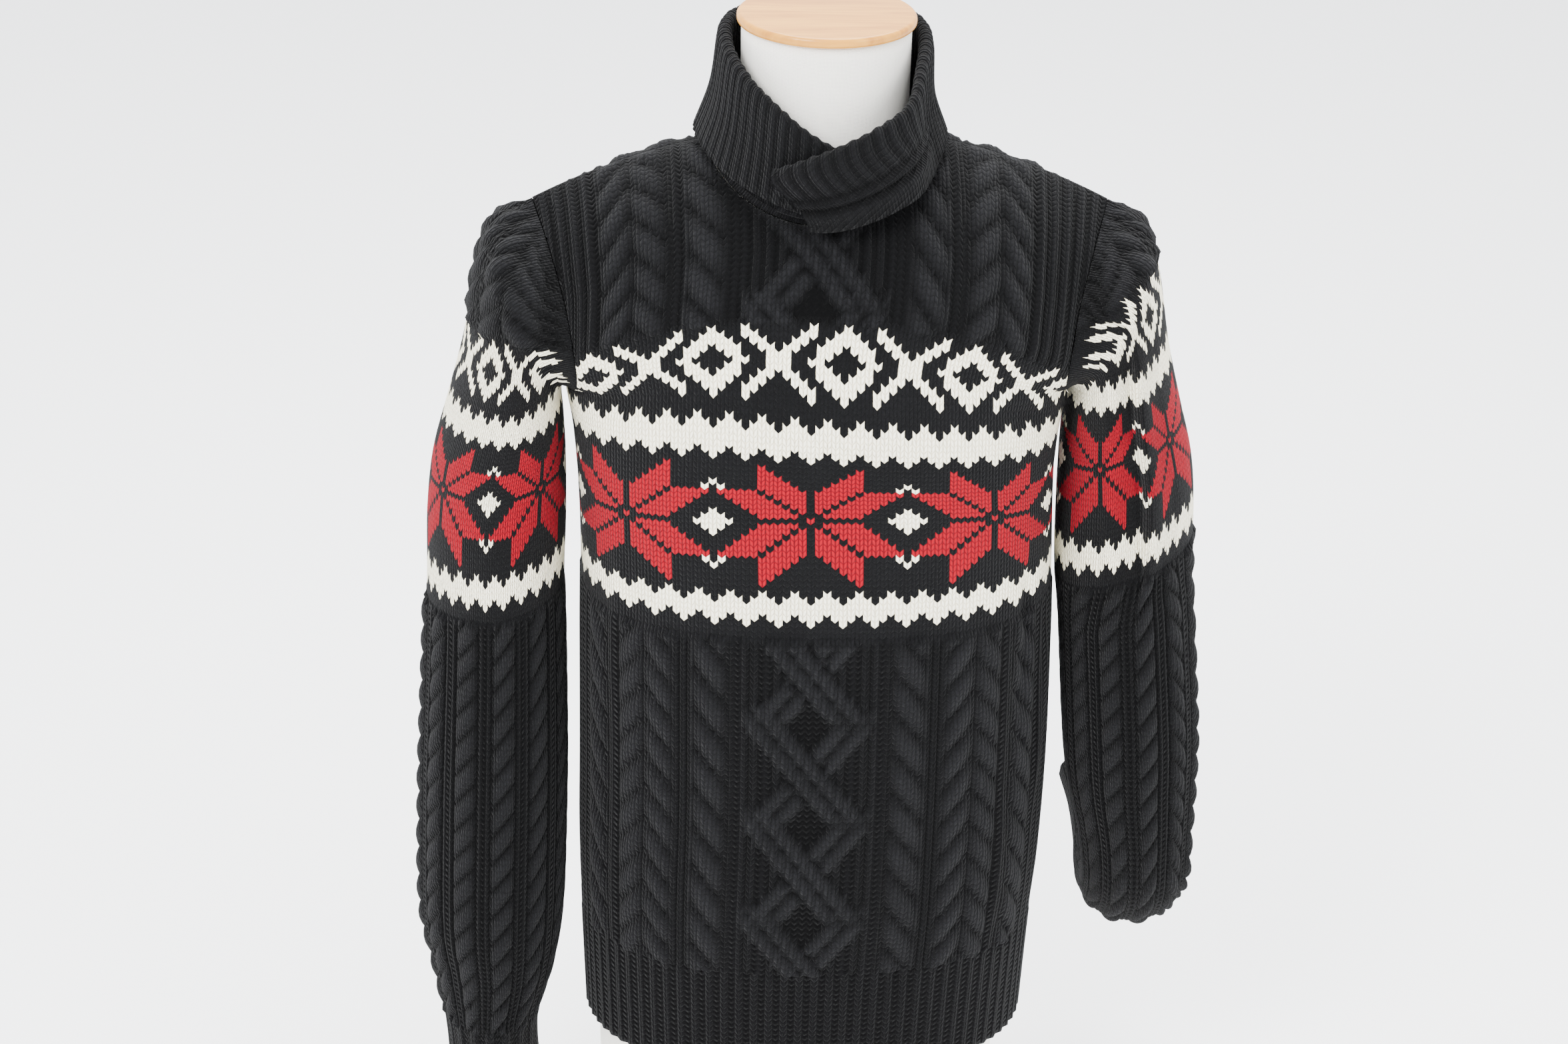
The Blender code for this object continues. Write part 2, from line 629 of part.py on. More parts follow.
def sleeve(name, rings, mirror, material):
    """A sleeve, built on the +X side and mirrored for the other."""
    shell = Shell()
    lines = {"rings": rings, "cache": {}}
    flip = mirror < 0

    fine = 10
    stations = [i / fine for i in range(len(rings) * fine + 1)]
    heights = [0.0]
    for a, b in zip(stations, stations[1:]):
        step = sum(
            (sleeve_point(lines, g, b) - sleeve_point(lines, g, a)).length for g in (0.25, 0.5, 0.75, 0.0)
        )
        heights.append(heights[-1] + step / 4 / ROW)
    rows = heights[-1]

    def station_at(row):
        """The station at this row, counted up from the cuff's end."""
        depth = rows - row
        i = max(k for k in range(len(heights) - 1) if heights[k] <= depth)
        part = (depth - heights[i]) / (heights[i + 1] - heights[i])
        return min(stations[i] + part / fine, stations[-1])

    def squeeze(around):
        """Relief is flattened along the inner line, where the sleeve lies against the body."""
        away = abs(around % 1.0 - round(around % 1.0))
        return min(1.0, LEAST_SHARE + 4.4 * away)

    def ring_line(places, row, face):
        points = []
        for around in places:
            station = station_at(row)
            normal = sleeve_normal(lines, around, station)
            point = sleeve_point(lines, around, station)
            if face == "inner":
                point = point - WALL * normal
            elif face == "cuff":
                point = point + HEM_RIB_RISE * rib(around * CUFF_RIBS, 1.0) * squeeze(around) * normal
            else:
                point = point + sleeve_relief(around, row, rows) * squeeze(around) * normal
            points.append(Vector((mirror * point.x, point.y, point.z)))
        return shell.line(points)

    places = [i / (2 * SLEEVE_CABLES) for i in range(2 * SLEEVE_CABLES)]
    cuff_places = [i / (2 * CUFF_RIBS) for i in range(2 * CUFF_RIBS)]
    inner_places = places[::2]
    cable_top = rows - SLEEVE_BAND_ROWS
    cable_step = SLEEVE_ROPE_ROWS / 2
    cable_foot = CUFF_ROWS + cable_step
    cable_rows = [cable_foot + i * cable_step for i in range(int((cable_top - cable_foot) / cable_step) + 1)]
    upper_count = 7
    upper_rows = [cable_top + SLEEVE_BAND_ROWS * i / upper_count for i in range(1, upper_count)]
    upper_rows.append(rows - SLEEVE_SEAM_ROWS)
    cuff_rows = [0.0, CUFF_ROWS / 2, CUFF_ROWS - 0.4]
    outer_rows = cable_rows + upper_rows
    inner_rows = [0.0, CUFF_ROWS / 2] + cable_rows[2::8] + upper_rows
    cuff = [ring_line(cuff_places, row, "cuff") for row in cuff_rows]
    outer = [ring_line(places, row, "outer") for row in outer_rows]
    inner = [ring_line(inner_places, row, "inner") for row in inner_rows]
    seam_places = seam_ring_places(OUTER_ROWS)
    inner_seam_places = seam_ring_places(INNER_ROWS)
    seam = seam_line(shell, seam_places, 0, mirror)
    inner_seam = seam_line(shell, inner_seam_places, 1, mirror)

    def closed(line):
        return line + line[:1]

    def places_of(values):
        return list(values) + [values[0] + 1.0]

    cuff, outer, inner = ([closed(line) for line in group] for group in (cuff, outer, inner))
    seam, inner_seam = closed(seam), closed(inner_seam)
    shell.sheet(cuff, flip)
    shell.zip(cuff[-1], places_of(cuff_places), outer[0], places_of(places), flip)
    shell.sheet(outer, flip)
    shell.sheet(inner, not flip)
    shell.zip(inner[0], places_of(inner_places), cuff[0], places_of(cuff_places), flip)
    shell.zip(outer[-1], places_of(places), seam, places_of(seam_places), flip)
    shell.zip(inner[-1], places_of(inner_places), inner_seam, places_of(inner_seam_places), not flip)
    shell.zip(seam, places_of(seam_places), inner_seam, places_of(inner_seam_places), flip)
    return shell.build(name, material)


def neckline(turn):
    """The body's neckline point at this turn from the centre front: outer point, inner point, direction up."""
    a = math.radians(turn)
    side = "front" if math.cos(a) >= 0 else "back"
    stitch = NECK_STITCH * math.sin(a)
    row = min(neck_row(side, stitch), SHOULDER_ROW - 0.02)
    outer = body_point(side, stitch, row)
    normal = body_normal(side, stitch, row)
    centre = Vector((0, 0, outer.z))
    inwards = (centre - outer).normalized()
    away = (inwards - inwards.dot(normal) * normal).normalized()
    return outer, outer - WALL * normal, away


def collar_profile(turn):
    """Centre line of the folded collar at this turn, from its seam, over the fold, to its free edge."""
    fold_r, fold_z, edge_r, edge_z, over = (
        read(COLLAR, COLLAR_COLUMNS, name, turn) for name in COLLAR_COLUMNS[1:]
    )
    outer, inner, away = neckline(turn)
    middle = (outer + inner) / 2
    a = math.radians(turn)
    out = Vector((math.sin(a), -math.cos(a), 0))
    up = Vector((0, 0, 1))
    shift = OVER_SHIFT * min(max(over, 0.0), 1.0)
    lift = shift * (outer - inner).normalized()
    foot = [middle + COLLAR_GAP * away + lift, middle + COLLAR_FOOT * away + lift]

    def at(radius, height):
        return out * (radius + shift) + up * height

    foot_r, foot_z = foot[1].dot(out) - shift, foot[1].z
    stand_mid = at(0.5 * foot_r + 0.5 * (fold_r - FOLD_RADIUS), 0.55 * foot_z + 0.45 * fold_z)
    fold = [
        at(fold_r - FOLD_RADIUS * math.cos(t), fold_z + FOLD_RADIUS * math.sin(t))
        for t in (0.0, math.pi / 2, math.pi)
    ]
    low_mid = at(0.5 * (fold_r + FOLD_RADIUS + edge_r) + 0.001, 0.45 * fold_z + 0.55 * edge_z)
    return [*foot, stand_mid, *fold, low_mid, at(edge_r, edge_z)], out


def neck_turns(columns):
    """Turns of the collar that meet the body panels' own columns round the neck."""
    first, last = COLLAR[0][0], COLLAR[-1][0]
    quarter = [math.degrees(math.asin(c / NECK_STITCH)) for c in columns if 0 <= c <= NECK_STITCH]
    ring = quarter + [180 - t for t in quarter[-2::-1]]
    full = [-t for t in ring] + [-360 + t for t in ring[-2::-1]]
    turns = [-t for t in quarter if t > 0] + full + [-360 - t for t in quarter[1:]]
    return sorted({round(t, 6) for t in turns if last + 1 < t < first - 1}, reverse=True)


def foot_line(shell, columns, face, lines):
    """The collar's seam line on the neck-side (1) or outer (0) face, ending on the strip's own ends."""
    first, last = COLLAR[0][0], COLLAR[-1][0]
    points, turns = [], neck_turns(columns)
    for turn in turns:
        profile, _ = collar_profile(turn)
        outer, inner, _ = neckline(turn)
        points.append(profile[0] + ((inner - outer) if face else (outer - inner)) / 2)
    line = [lines[0][0], *shell.line(points), lines[-1][0]]
    return line, [0.0] + [first - t for t in turns] + [first - last]


def collar(material):
    shell = Shell()
    first, last = COLLAR[0][0], COLLAR[-1][0]
    fine = [first + (last - first) * i / (2 * COLLAR_RIBS) for i in range(2 * COLLAR_RIBS + 1)]
    coarse = fine[::4]

    def station(turn, offset, towards):
        """The profile moved to one face of the strip."""
        points, out = collar_profile(turn)
        outer, inner, _ = neckline(turn)
        moved = [points[0] + ((inner - outer) if towards > 0 else (outer - inner)) / 2]
        for i, point in enumerate(points[1:], start=1):
            along = points[min(i + 1, len(points) - 1)] - points[max(i - 1, 0)]
            tangent = Vector((along.dot(out), along.z)).normalized()
            normal = out * -tangent.y + Vector((0, 0, tangent.x))
            moved.append(point + towards * offset * normal)
        return shell.line(moved)

    ribbed = [
        station(turn, WALL / 2 + COLLAR_RIB_RISE * (i % 2), 1.0) for i, turn in enumerate(fine)
    ]
    plain = [station(turn, WALL / 2, -1.0) for turn in coarse]
    shell.sheet([line[1:] for line in ribbed], flip=True)
    shell.sheet([line[1:] for line in plain])
    fine_at = [first - t for t in fine]
    coarse_at = [first - t for t in coarse]
    shell.zip([line[-1] for line in ribbed], fine_at, [line[-1] for line in plain], coarse_at)
    ribbed_foot, ribbed_turns = foot_line(shell, INNER_COLUMNS, 1, ribbed)
    plain_foot, plain_turns = foot_line(shell, COLUMNS, 0, plain)
    shell.zip(ribbed_foot, ribbed_turns, [line[1] for line in ribbed], fine_at)
    shell.zip(plain_foot, plain_turns, [line[1] for line in plain], coarse_at, flip=True)
    shell.zip(ribbed_foot, ribbed_turns, plain_foot, plain_turns, flip=True)
    for end in (0, -1):
        shell.sheet([ribbed[end], plain[end]], flip=end == -1)
    return shell.build("collar", material)


def form_section(z, half_width, depth_front, depth_back):
    """Ring of the dress form's lower torso."""
    ring = []
    for i in range(FORM_SIDES):
        a = 2 * math.pi * i / FORM_SIDES
        c, s = math.cos(a), math.sin(a)
        depth = depth_back if s > 0 else depth_front
        power = 2 / ROUNDNESS
        x = math.copysign(half_width * abs(c) ** power, c)
        y = math.copysign(depth * abs(s) ** power, s)
        ring.append(Vector((x, y, z)))
    return ring


def neck_depth(x, half_width=NECK_HALF):
    """Half depth of the neck's oval at this distance from the centre."""
    return NECK_DEPTH * math.sqrt(max(1 - (x / half_width) ** 2, 0.0))


def shoulder_section(z):
    """Ring of the form's shoulders, whose top ridge lies just under the shoulder seam."""
    base = read(BODY, BODY_COLUMNS, "mid_z", ARCH_ROW)
    side_z = EDGE[-1][1]
    fall = (SEAM_TOP_Z - side_z) / EDGE[-1][2] ** 2
    top = SEAM_TOP_Z - WALL - SEAT_GAP
    reach = min(math.sqrt((top - z) / fall), FORM_SHOULDER_HALF)
    chest_z = FORM[-1][0]
    low = max(0.0, 1 - (z - chest_z) / (SHOULDER_HEIGHTS[2] - chest_z))
    ring = []
    for i in range(FORM_SIDES):
        a = 2 * math.pi * i / FORM_SIDES
        x = reach * math.cos(a)
        rise = min((z - base) / (top - fall * x * x - base), 1.0)
        lean = math.sqrt(max(1 - rise * rise, 0.0))
        across = (1 - abs(x / (FORM_SHOULDER_HALF + 0.001)) ** ROUNDNESS) ** (1 / ROUNDNESS)
        side = "back" if math.sin(a) > 0 else "front"
        chest = FORM[-1][FORM_COLUMNS.index(side)]
        depth = FORM_SHOULDER_DEPTH[side] + low * (chest - FORM_SHOULDER_DEPTH[side])
        y = ((depth * lean * across) ** 4 + neck_depth(x) ** 4) ** 0.25
        y = y if side == "back" else -y
        ring.append(Vector((x, y + NECK_SHIFT * neck_depth(x) / NECK_DEPTH, z)))
    return ring


def flare_section(z, half_width):
    """Ring where the shoulders rise into the neck."""
    ring = []
    for i in range(FORM_SIDES):
        a = 2 * math.pi * i / FORM_SIDES
        x = half_width * math.cos(a)
        ridge = 0.04 * (half_width - NECK_HALF) * abs(math.sin(a))
        y = math.copysign(neck_depth(x) + ridge, math.sin(a)) if abs(math.sin(a)) > 0.001 else 0.0
        ring.append(Vector((x, y + NECK_SHIFT * neck_depth(x) / NECK_DEPTH, z)))
    return ring


def form_torso(material):
    shell = Shell()
    count = 9
    steps = [FORM[0][0] + (FORM[-1][0] - FORM[0][0]) * i / count for i in range(count + 1)]
    rings = []
    for z in steps:
        sizes = [read(FORM, FORM_COLUMNS, name, z) for name in FORM_COLUMNS[1:]]
        rings.append(form_section(z, *sizes))
    rings.extend(shoulder_section(z) for z in SHOULDER_HEIGHTS)
    rings.extend(flare_section(z, half_width) for z, half_width in FLARE)
    lines = [shell.line(ring) for ring in rings]
    shell.sheet([line + line[:1] for line in lines])
    shell.faces.append(tuple(reversed(lines[0])))
    shell.faces.append(tuple(lines[-1]))
    return shell.build("form_torso", material)


def form_neck_cap(material):
    """A turned wooden disc with rounded edges, on top of the neck."""
    bottom = FLARE[-1][0] + SEAM_GAP
    bpy.ops.mesh.primitive_cylinder_add(
        vertices=24, radius=CAP_RADIUS, depth=CAP_THICK, location=(0, 0, bottom + CAP_THICK / 2)
    )
    obj = bpy.context.object
    obj.name = "form_neck_cap"
    bevel = obj.modifiers.new("Rounded edges", "BEVEL")
    bevel.width = CAP_ROUND
    bevel.segments = 1
    bevel.limit_method = "ANGLE"
    obj.data.materials.append(material)
    return obj


def main():
    for old in list(bpy.data.objects):
        bpy.data.objects.remove(old)
    wool = wool_material("Charcoal wool", (0.014, 0.014, 0.016))
    linen = wool_material("Padded linen", (0.78, 0.76, 0.70))
    maple = wool_material("Varnished maple", (0.75, 0.50, 0.22))
    maple.node_tree.nodes["Principled BSDF"].inputs["Roughness"].default_value = 0.25
    panel("front", wool)
    panel("back", wool)
    sleeve("sleeve_left", UPPER_RINGS + TUCKED_RINGS, 1, wool)
    sleeve("sleeve_right", UPPER_RINGS + HANGING_RINGS, -1, wool)
    collar(wool)
    form_torso(linen)
    form_neck_cap(maple)


main()
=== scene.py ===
# %% [markdown]
# # A cable knit pullover on a dress form
#
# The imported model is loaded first, as a fixed frame. Its seven solids have the right size and place, but
# their knit is plain. Each knitted piece gets a finer wall here, on the same form, worked stitch by stitch:
# cables, ribs, the cream and red band, and wool that catches the light. Metres, +Z up, the front towards -Y.

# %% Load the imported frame
import math

import bpy
import numpy as np
from mathutils import Matrix, Vector


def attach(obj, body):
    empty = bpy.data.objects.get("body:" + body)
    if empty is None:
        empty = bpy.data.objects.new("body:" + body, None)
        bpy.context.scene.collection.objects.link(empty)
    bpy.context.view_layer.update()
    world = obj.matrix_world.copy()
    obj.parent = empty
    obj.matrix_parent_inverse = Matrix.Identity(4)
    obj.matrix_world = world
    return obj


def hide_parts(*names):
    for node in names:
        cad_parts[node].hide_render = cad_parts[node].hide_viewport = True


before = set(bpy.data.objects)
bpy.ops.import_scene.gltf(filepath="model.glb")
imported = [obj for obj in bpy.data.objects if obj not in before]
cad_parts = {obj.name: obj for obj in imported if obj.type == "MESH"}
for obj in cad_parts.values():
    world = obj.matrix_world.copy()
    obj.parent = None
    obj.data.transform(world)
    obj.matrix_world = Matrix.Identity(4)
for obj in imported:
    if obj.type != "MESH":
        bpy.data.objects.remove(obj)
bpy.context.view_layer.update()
print("Nodes:", ", ".join(sorted(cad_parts)))

# %% [markdown]
# ## Knit sizes
#
# A knitted piece is planned in stitches across and rows up. Everything below is counted that way: across
# from the centre front or back, and up from the row that the big red stars are centred on.

# %% Gauge, rows and stitches
ROW = 0.00454  # height of one row
WALL = 0.003
SEAM_GAP = 0.0003
HEM_ROW = -101
RIB_TOP_ROW = -82
BAND_BOTTOM_ROW = -20
BAND_TOP_ROW = 33
ARMPIT_ROW = 24
SHOULDER_ROW = 68
ARCH_ROW = 6
SIDE_STITCH = 44.5
YOKE_WIDTH = 0.0061
NECK_STITCH = 13.9
NECK_DROP = {"front": 21, "back": 16}
ROUNDNESS = 2.4
SEAM_TOP_Z = 0.8443
SLANT = 0.55  # the two legs of a stitch rise this many rows from its middle to its edges

# %% Relief of the cables and ribs
CABLE_RISE = 0.0044
RIB_RISE = 0.0024
HEM_RIB_RISE = 0.0019
ROPE_ROWS = 7.2
CHEVRON_ROWS = 6.1
LATTICE_ROWS = 18.2
LATTICE_STARTS = (-32.0, 38.5)  # a row at which its strands leave the edges: below the band, and in the yoke

# %% How much light the yarn catches, from 0 in a groove to 1 on top of a cable
BAND_SHADE = 0.5
INSIDE_SHADE = 0.3
RISE_GAIN = 1.15
RISE_POWER = 1.5  # keeps the grooves dark

# %% Sections of the body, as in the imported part
BODY = (
    ("row", "mid_z", "side_z", "half_width", "shift", "front", "back"),
    (-101, 0.135, 0.135, 0.1675, 0.004, 0.121, 0.112),
    (-82, 0.221, 0.221, 0.1715, 0.004, 0.126, 0.117),
    (-70, 0.275, 0.274, 0.1745, 0.005, 0.128, 0.116),
    (-52, 0.357, 0.353, 0.1755, 0.006, 0.127, 0.111),
    (-30, 0.457, 0.450, 0.1750, 0.005, 0.128, 0.109),
    (-14, 0.530, 0.518, 0.1740, 0.004, 0.129, 0.111),
    (0, 0.594, 0.572, 0.1740, 0.002, 0.130, 0.114),
    (6, 0.621, 0.593, 0.1745, 0.001, 0.130, 0.115),
)
EDGE = (
    ("row", "side_z", "half_width", "share"),
    (6, 0.593, 0.1745, 0.0),
    (14, 0.622, 0.1770, 0.0),
    (24, 0.655, 0.1820, 0.0),
    (25, 0.658, 0.1800, 0.22),
    (26.5, 0.662, 0.1765, 0.40),
    (29, 0.669, 0.1740, 0.53),
    (34, 0.685, 0.1745, 0.62),
    (45, 0.724, 0.1810, 0.64),
    (56, 0.762, 0.1925, 0.62),
    (68, 0.790, 0.2050, 0.60),
)

# %% [markdown]
# ## Curves, sections and walls
#
# A garment's surface is easiest to write as sections: one line across for each row, whose shape changes
# smoothly from row to row. A wall is then that surface, a second one 3 mm inside it, and a rim between them.
# The first line of a table of sections names its columns.


# %% Smooth curves and named tables
def curve(keys, values, at):
    """A smooth curve through the values at the keys, read at one place or at many."""
    keys, values = np.asarray(keys, float), np.asarray(values, float)
    if keys[0] > keys[-1]:
        keys, values = keys[::-1], values[::-1]
    at = np.clip(at, keys[0], keys[-1])
    i = np.clip(np.searchsorted(keys, at, side="right") - 1, 0, len(keys) - 2)
    before = np.maximum(np.arange(len(keys)) - 1, 0)
    after = np.minimum(np.arange(len(keys)) + 1, len(keys) - 1)
    gaps = keys[after] - keys[before]
    span = keys[i + 1] - keys[i]
    t = (at - keys[i]) / span
    if values.ndim > 1:
        gaps, span, t = gaps[:, None], span[..., None], t[..., None]
    slopes = (values[after] - values[before]) / gaps
    return (
        values[i] * (1 + 2 * t) * (1 - t) ** 2
        + values[i + 1] * t * t * (3 - 2 * t)
        + span * (slopes[i] * t * (1 - t) ** 2 - slopes[i + 1] * t * t * (1 - t))
    )


def read(table, name, at):
    """The named column of a table, at a place along its first column."""
    column = table[0].index(name)
    return float(curve([line[0] for line in table[1:]], [line[column] for line in table[1:]], at))


def read_line(table, at):
    """Every column of a table after the first, at a place along it."""
    return [read(table, name, at) for name in table[0][1:]]


def smooth(at, start, end):
    """0 before start, 1 after end, and soft between them."""
    t = np.clip((at - start) / (end - start), 0.0, 1.0)
    return t * t * (3 - 2 * t)


def bump(at, centre, half):
    """1 at the centre, falling softly to 0 at this distance from it."""
    t = np.clip(1 - np.abs((at - centre) / half), 0.0, 1.0)
    return t * t * (3 - 2 * t)


# %% The body's sections
SECTION_STEPS = 72
SHIFT_ROWS = 18  # rows above ARCH_ROW over which the sideways shift dies out
section_lines = {}


def arch_angle(depth, share):
    """Angle on the quarter ellipse from chest to shoulder seam at this share of its length."""
    height = SEAM_TOP_Z - read(BODY, "mid_z", ARCH_ROW)
    middles = (np.arange(120) + 0.5) / 120 * math.pi / 2
    steps = np.hypot(depth * np.sin(middles), height * np.cos(middles))
    lengths = np.concatenate([[0.0], np.cumsum(steps)])
    return np.interp(share * lengths[-1], lengths, np.arange(121) / 120 * math.pi / 2)


def section(side, row):
    """Sizes of the cloth at this row: centre height, side height, half width, shift, depth and edge share."""
    if row <= ARCH_ROW:
        names = ("mid_z", "side_z", "half_width", "shift", side)
        return [read(BODY, name, row) for name in names] + [0.0]
    depth = read(BODY, side, ARCH_ROW)
    base = read(BODY, "mid_z", ARCH_ROW)
    angle = arch_angle(depth, (row - ARCH_ROW) / (SHOULDER_ROW - ARCH_ROW))
    mid_z = base + (SEAM_TOP_Z - base) * math.sin(angle)
    side_z, half_width, share = read_line(EDGE, row)
    shift = read(BODY, "shift", ARCH_ROW) * max(0.0, 1 - (row - ARCH_ROW) / SHIFT_ROWS)
    return [mid_z, side_z, half_width, shift, depth * math.cos(angle), max(share, 0.0)]


def section_at(sizes, angles):
    """Points of a section at these angles of its superellipse, with y not yet signed."""
    mid_z, side_z, half_width, _, depth, share = sizes
    reach = (1 - share**ROUNDNESS) ** (1 / ROUNDNESS)
    x = half_width / reach * np.maximum(np.sin(angles), 0.0) ** (2 / ROUNDNESS)
    y = depth * np.maximum(np.cos(angles), 0.0) ** (2 / ROUNDNESS)
    z = mid_z + (side_z - mid_z) * (x / half_width) ** 2
    return np.stack([x, y, z], axis=-1)


def last_angle(sizes):
    """The angle at which the section meets its side seam or armhole."""
    reach = (1 - sizes[5] ** ROUNDNESS) ** (1 / ROUNDNESS)
    return math.asin(min(reach ** (ROUNDNESS / 2), 1.0))


def section_line(side, row):
    """(sizes, points, lengths) of the section at this row, from the centre out to the +X side."""
    key = (side, round(float(row), 4))
    if key not in section_lines:
        sizes = section(side, row)
        points = section_at(sizes, np.linspace(0.0, last_angle(sizes), SECTION_STEPS + 1))
        steps = np.linalg.norm(np.diff(points, axis=0), axis=1)
        section_lines[key] = (sizes, points, np.concatenate([[0.0], np.cumsum(steps)]))
    return section_lines[key]


def stitch_width(side, row):
    """Width of a stitch at this row. The yoke is stretched a little over the shoulders."""
    if row <= ARMPIT_ROW:
        return section_line(side, row)[2][-1] / SIDE_STITCH
    width = section_line(side, ARMPIT_ROW)[2][-1] / SIDE_STITCH
    return width + (YOKE_WIDTH - width) * min((row - ARMPIT_ROW) / 12, 1.0)


DENSE_ROWS = np.arange(HEM_ROW, SHOULDER_ROW + 0.125, 0.25)
SHARES = np.linspace(0, 1, 121)
dense_sections = {}


def dense_section(side):
    """(points, edges, shifts) at each [row, share of the way to the edge], with the edges in stitches."""
    if side not in dense_sections:
        points, edges, shifts = [], [], []
        for row in DENSE_ROWS:
            sizes, line, lengths = section_line(side, row)
            places = SHARES * lengths[-1]
            axes = [np.interp(places, lengths, line[:, axis]) for axis in range(3)]
            points.append(np.stack(axes, axis=1))
            edges.append(lengths[-1] / stitch_width(side, row))
            shifts.append(sizes[3])
        dense_sections[side] = np.array(points), np.array(edges), np.array(shifts)
    return dense_sections[side]


def body_places(side, stitches, rows):
    """(points, stitches, edges) on the cloth. Stitches past the panel's edge are brought back to it."""
    points, edges, shifts = dense_section(side)
    edge = np.interp(rows, DENSE_ROWS, edges)
    sign = np.where(stitches < 0, -1.0, 1.0)
    share = np.minimum(np.abs(stitches) / edge, 1.0)
    row_place = np.clip((rows - HEM_ROW) * 4, 0, len(DENSE_ROWS) - 1.000001)
    share_place = np.clip(share * (len(SHARES) - 1), 0, len(SHARES) - 1.000001)
    i, j = np.floor(row_place).astype(int), np.floor(share_place).astype(int)
    up, out = (row_place - i)[..., None], (share_place - j)[..., None]
    low = points[i, j] * (1 - out) + points[i, j + 1] * out
    high = points[i + 1, j] * (1 - out) + points[i + 1, j + 1] * out
    x, y, z = np.moveaxis(low * (1 - up) + high * up, -1, 0)
    towards = -1 if side == "front" else 1
    shift = np.interp(rows, DENSE_ROWS, shifts)
    placed = np.stack([sign * x + shift, towards * (y + SEAM_GAP / 2), z], axis=-1)
    return placed, sign * share * edge, edge


def body_spot(side, stitch, row):
    """(point, outward direction) of the cloth at one stitch and row."""
    sizes, points, lengths = section_line(side, row)
    sign = -1.0 if stitch < 0 else 1.0
    towards = -1.0 if side == "front" else 1.0
    arc = min(abs(stitch) * stitch_width(side, row), lengths[-1])
    last = last_angle(sizes)
    angle = np.interp(arc, lengths, np.linspace(0.0, last, SECTION_STEPS + 1))
    x, y, z = (np.interp(arc, lengths, points[:, axis]) for axis in range(3))
    above = section_at(section(side, min(row + 0.4, SHOULDER_ROW)), angle)
    below = section_at(section(side, row - 0.4), angle)
    across = section_at(sizes, min(angle + 0.03, last)) - section_at(sizes, max(angle - 0.03, 0.0))
    normal = np.cross(above - below, across)
    if row > SHOULDER_ROW - 0.03:
        normal[1] = 0.0
    normal /= np.linalg.norm(normal)
    point = np.array((sign * x + sizes[3], towards * (y + SEAM_GAP / 2), z))
    return point, normal * np.array((sign if stitch else 0.0, towards, 1.0))


def neck_row(side, stitches):
    """Row at which the panel ends above each stitch."""
    a = np.clip(np.abs(stitches) / NECK_STITCH, 0, 1)
    return SHOULDER_ROW - NECK_DROP[side] * np.sqrt(1 - a * a)


# %% Walls of knit
def vertex_normals(points, faces):
    """Outward directions at the vertices of quads, some of which have a corner twice."""
    a, b, c, d = (points[faces[:, k]] for k in range(4))
    across = np.cross(c - a, d - b)
    normals = np.zeros_like(points)
    for k in range(4):
        np.add.at(normals, faces[:, k], across)
    lengths = np.linalg.norm(normals, axis=1, keepdims=True)
    return normals / np.maximum(lengths, 1e-12)


def rim_of(faces):
    """Directed edges that only one face uses."""
    ends = np.stack([faces, np.roll(faces, -1, axis=1)], axis=2).reshape(-1, 2)
    ends = ends[ends[:, 0] != ends[:, 1]]
    top = int(faces.max()) + 1
    codes = ends[:, 0] * top + ends[:, 1]
    backwards = ends[:, 1] * top + ends[:, 0]
    return ends[~np.isin(codes, backwards)]


def cell_corners(grid):
    """The four corners of each cell of a grid, in order round the cell."""
    return np.stack([grid[:-1, :-1], grid[:-1, 1:], grid[1:, 1:], grid[1:, :-1]], axis=2)


def knit_grid(points, cut, flip):
    """Quads over a grid of places, with doubles merged and what was cut away left out.

    Gives the merged places' first index, the faces and, for each, its line and column in the grid.
    """
    lines, columns = points.shape[:2]
    flat = np.round(points.reshape(-1, 3), 6)
    _, first, merged = np.unique(flat, axis=0, return_index=True, return_inverse=True)
    merged = merged.reshape(lines, columns)
    quads, gone = cell_corners(merged), cell_corners(cut).all(axis=2)
    places = np.stack(np.indices((lines - 1, columns - 1)), axis=2)
    quads, places, gone = quads.reshape(-1, 4), places.reshape(-1, 2), gone.reshape(-1)
    different = np.array([len(set(quad)) for quad in quads.tolist()])
    keep = ~gone & (different >= 3)
    used, quads = np.unique(quads[keep], return_inverse=True)
    quads = quads.reshape(-1, 4)
    return first[used], quads[:, ::-1] if flip else quads, places[keep]


def new_piece(name, points, faces, material, flat=0):
    """A mesh object in the scene, smooth but for its last few faces."""
    mesh = bpy.data.meshes.new(name)
    mesh.from_pydata(points.tolist(), [], faces)
    mesh.polygons.foreach_set("use_smooth", [True] * (len(faces) - flat) + [False] * flat)
    mesh.materials.append(material)
    piece = bpy.data.objects.new(name, mesh)
    bpy.context.scene.collection.objects.link(piece)
    print(name, sum(len(face) - 2 for face in faces), "triangles")
    return piece


RIM_ROWS = 0.6  # rows of stitches drawn over the thickness of a rim


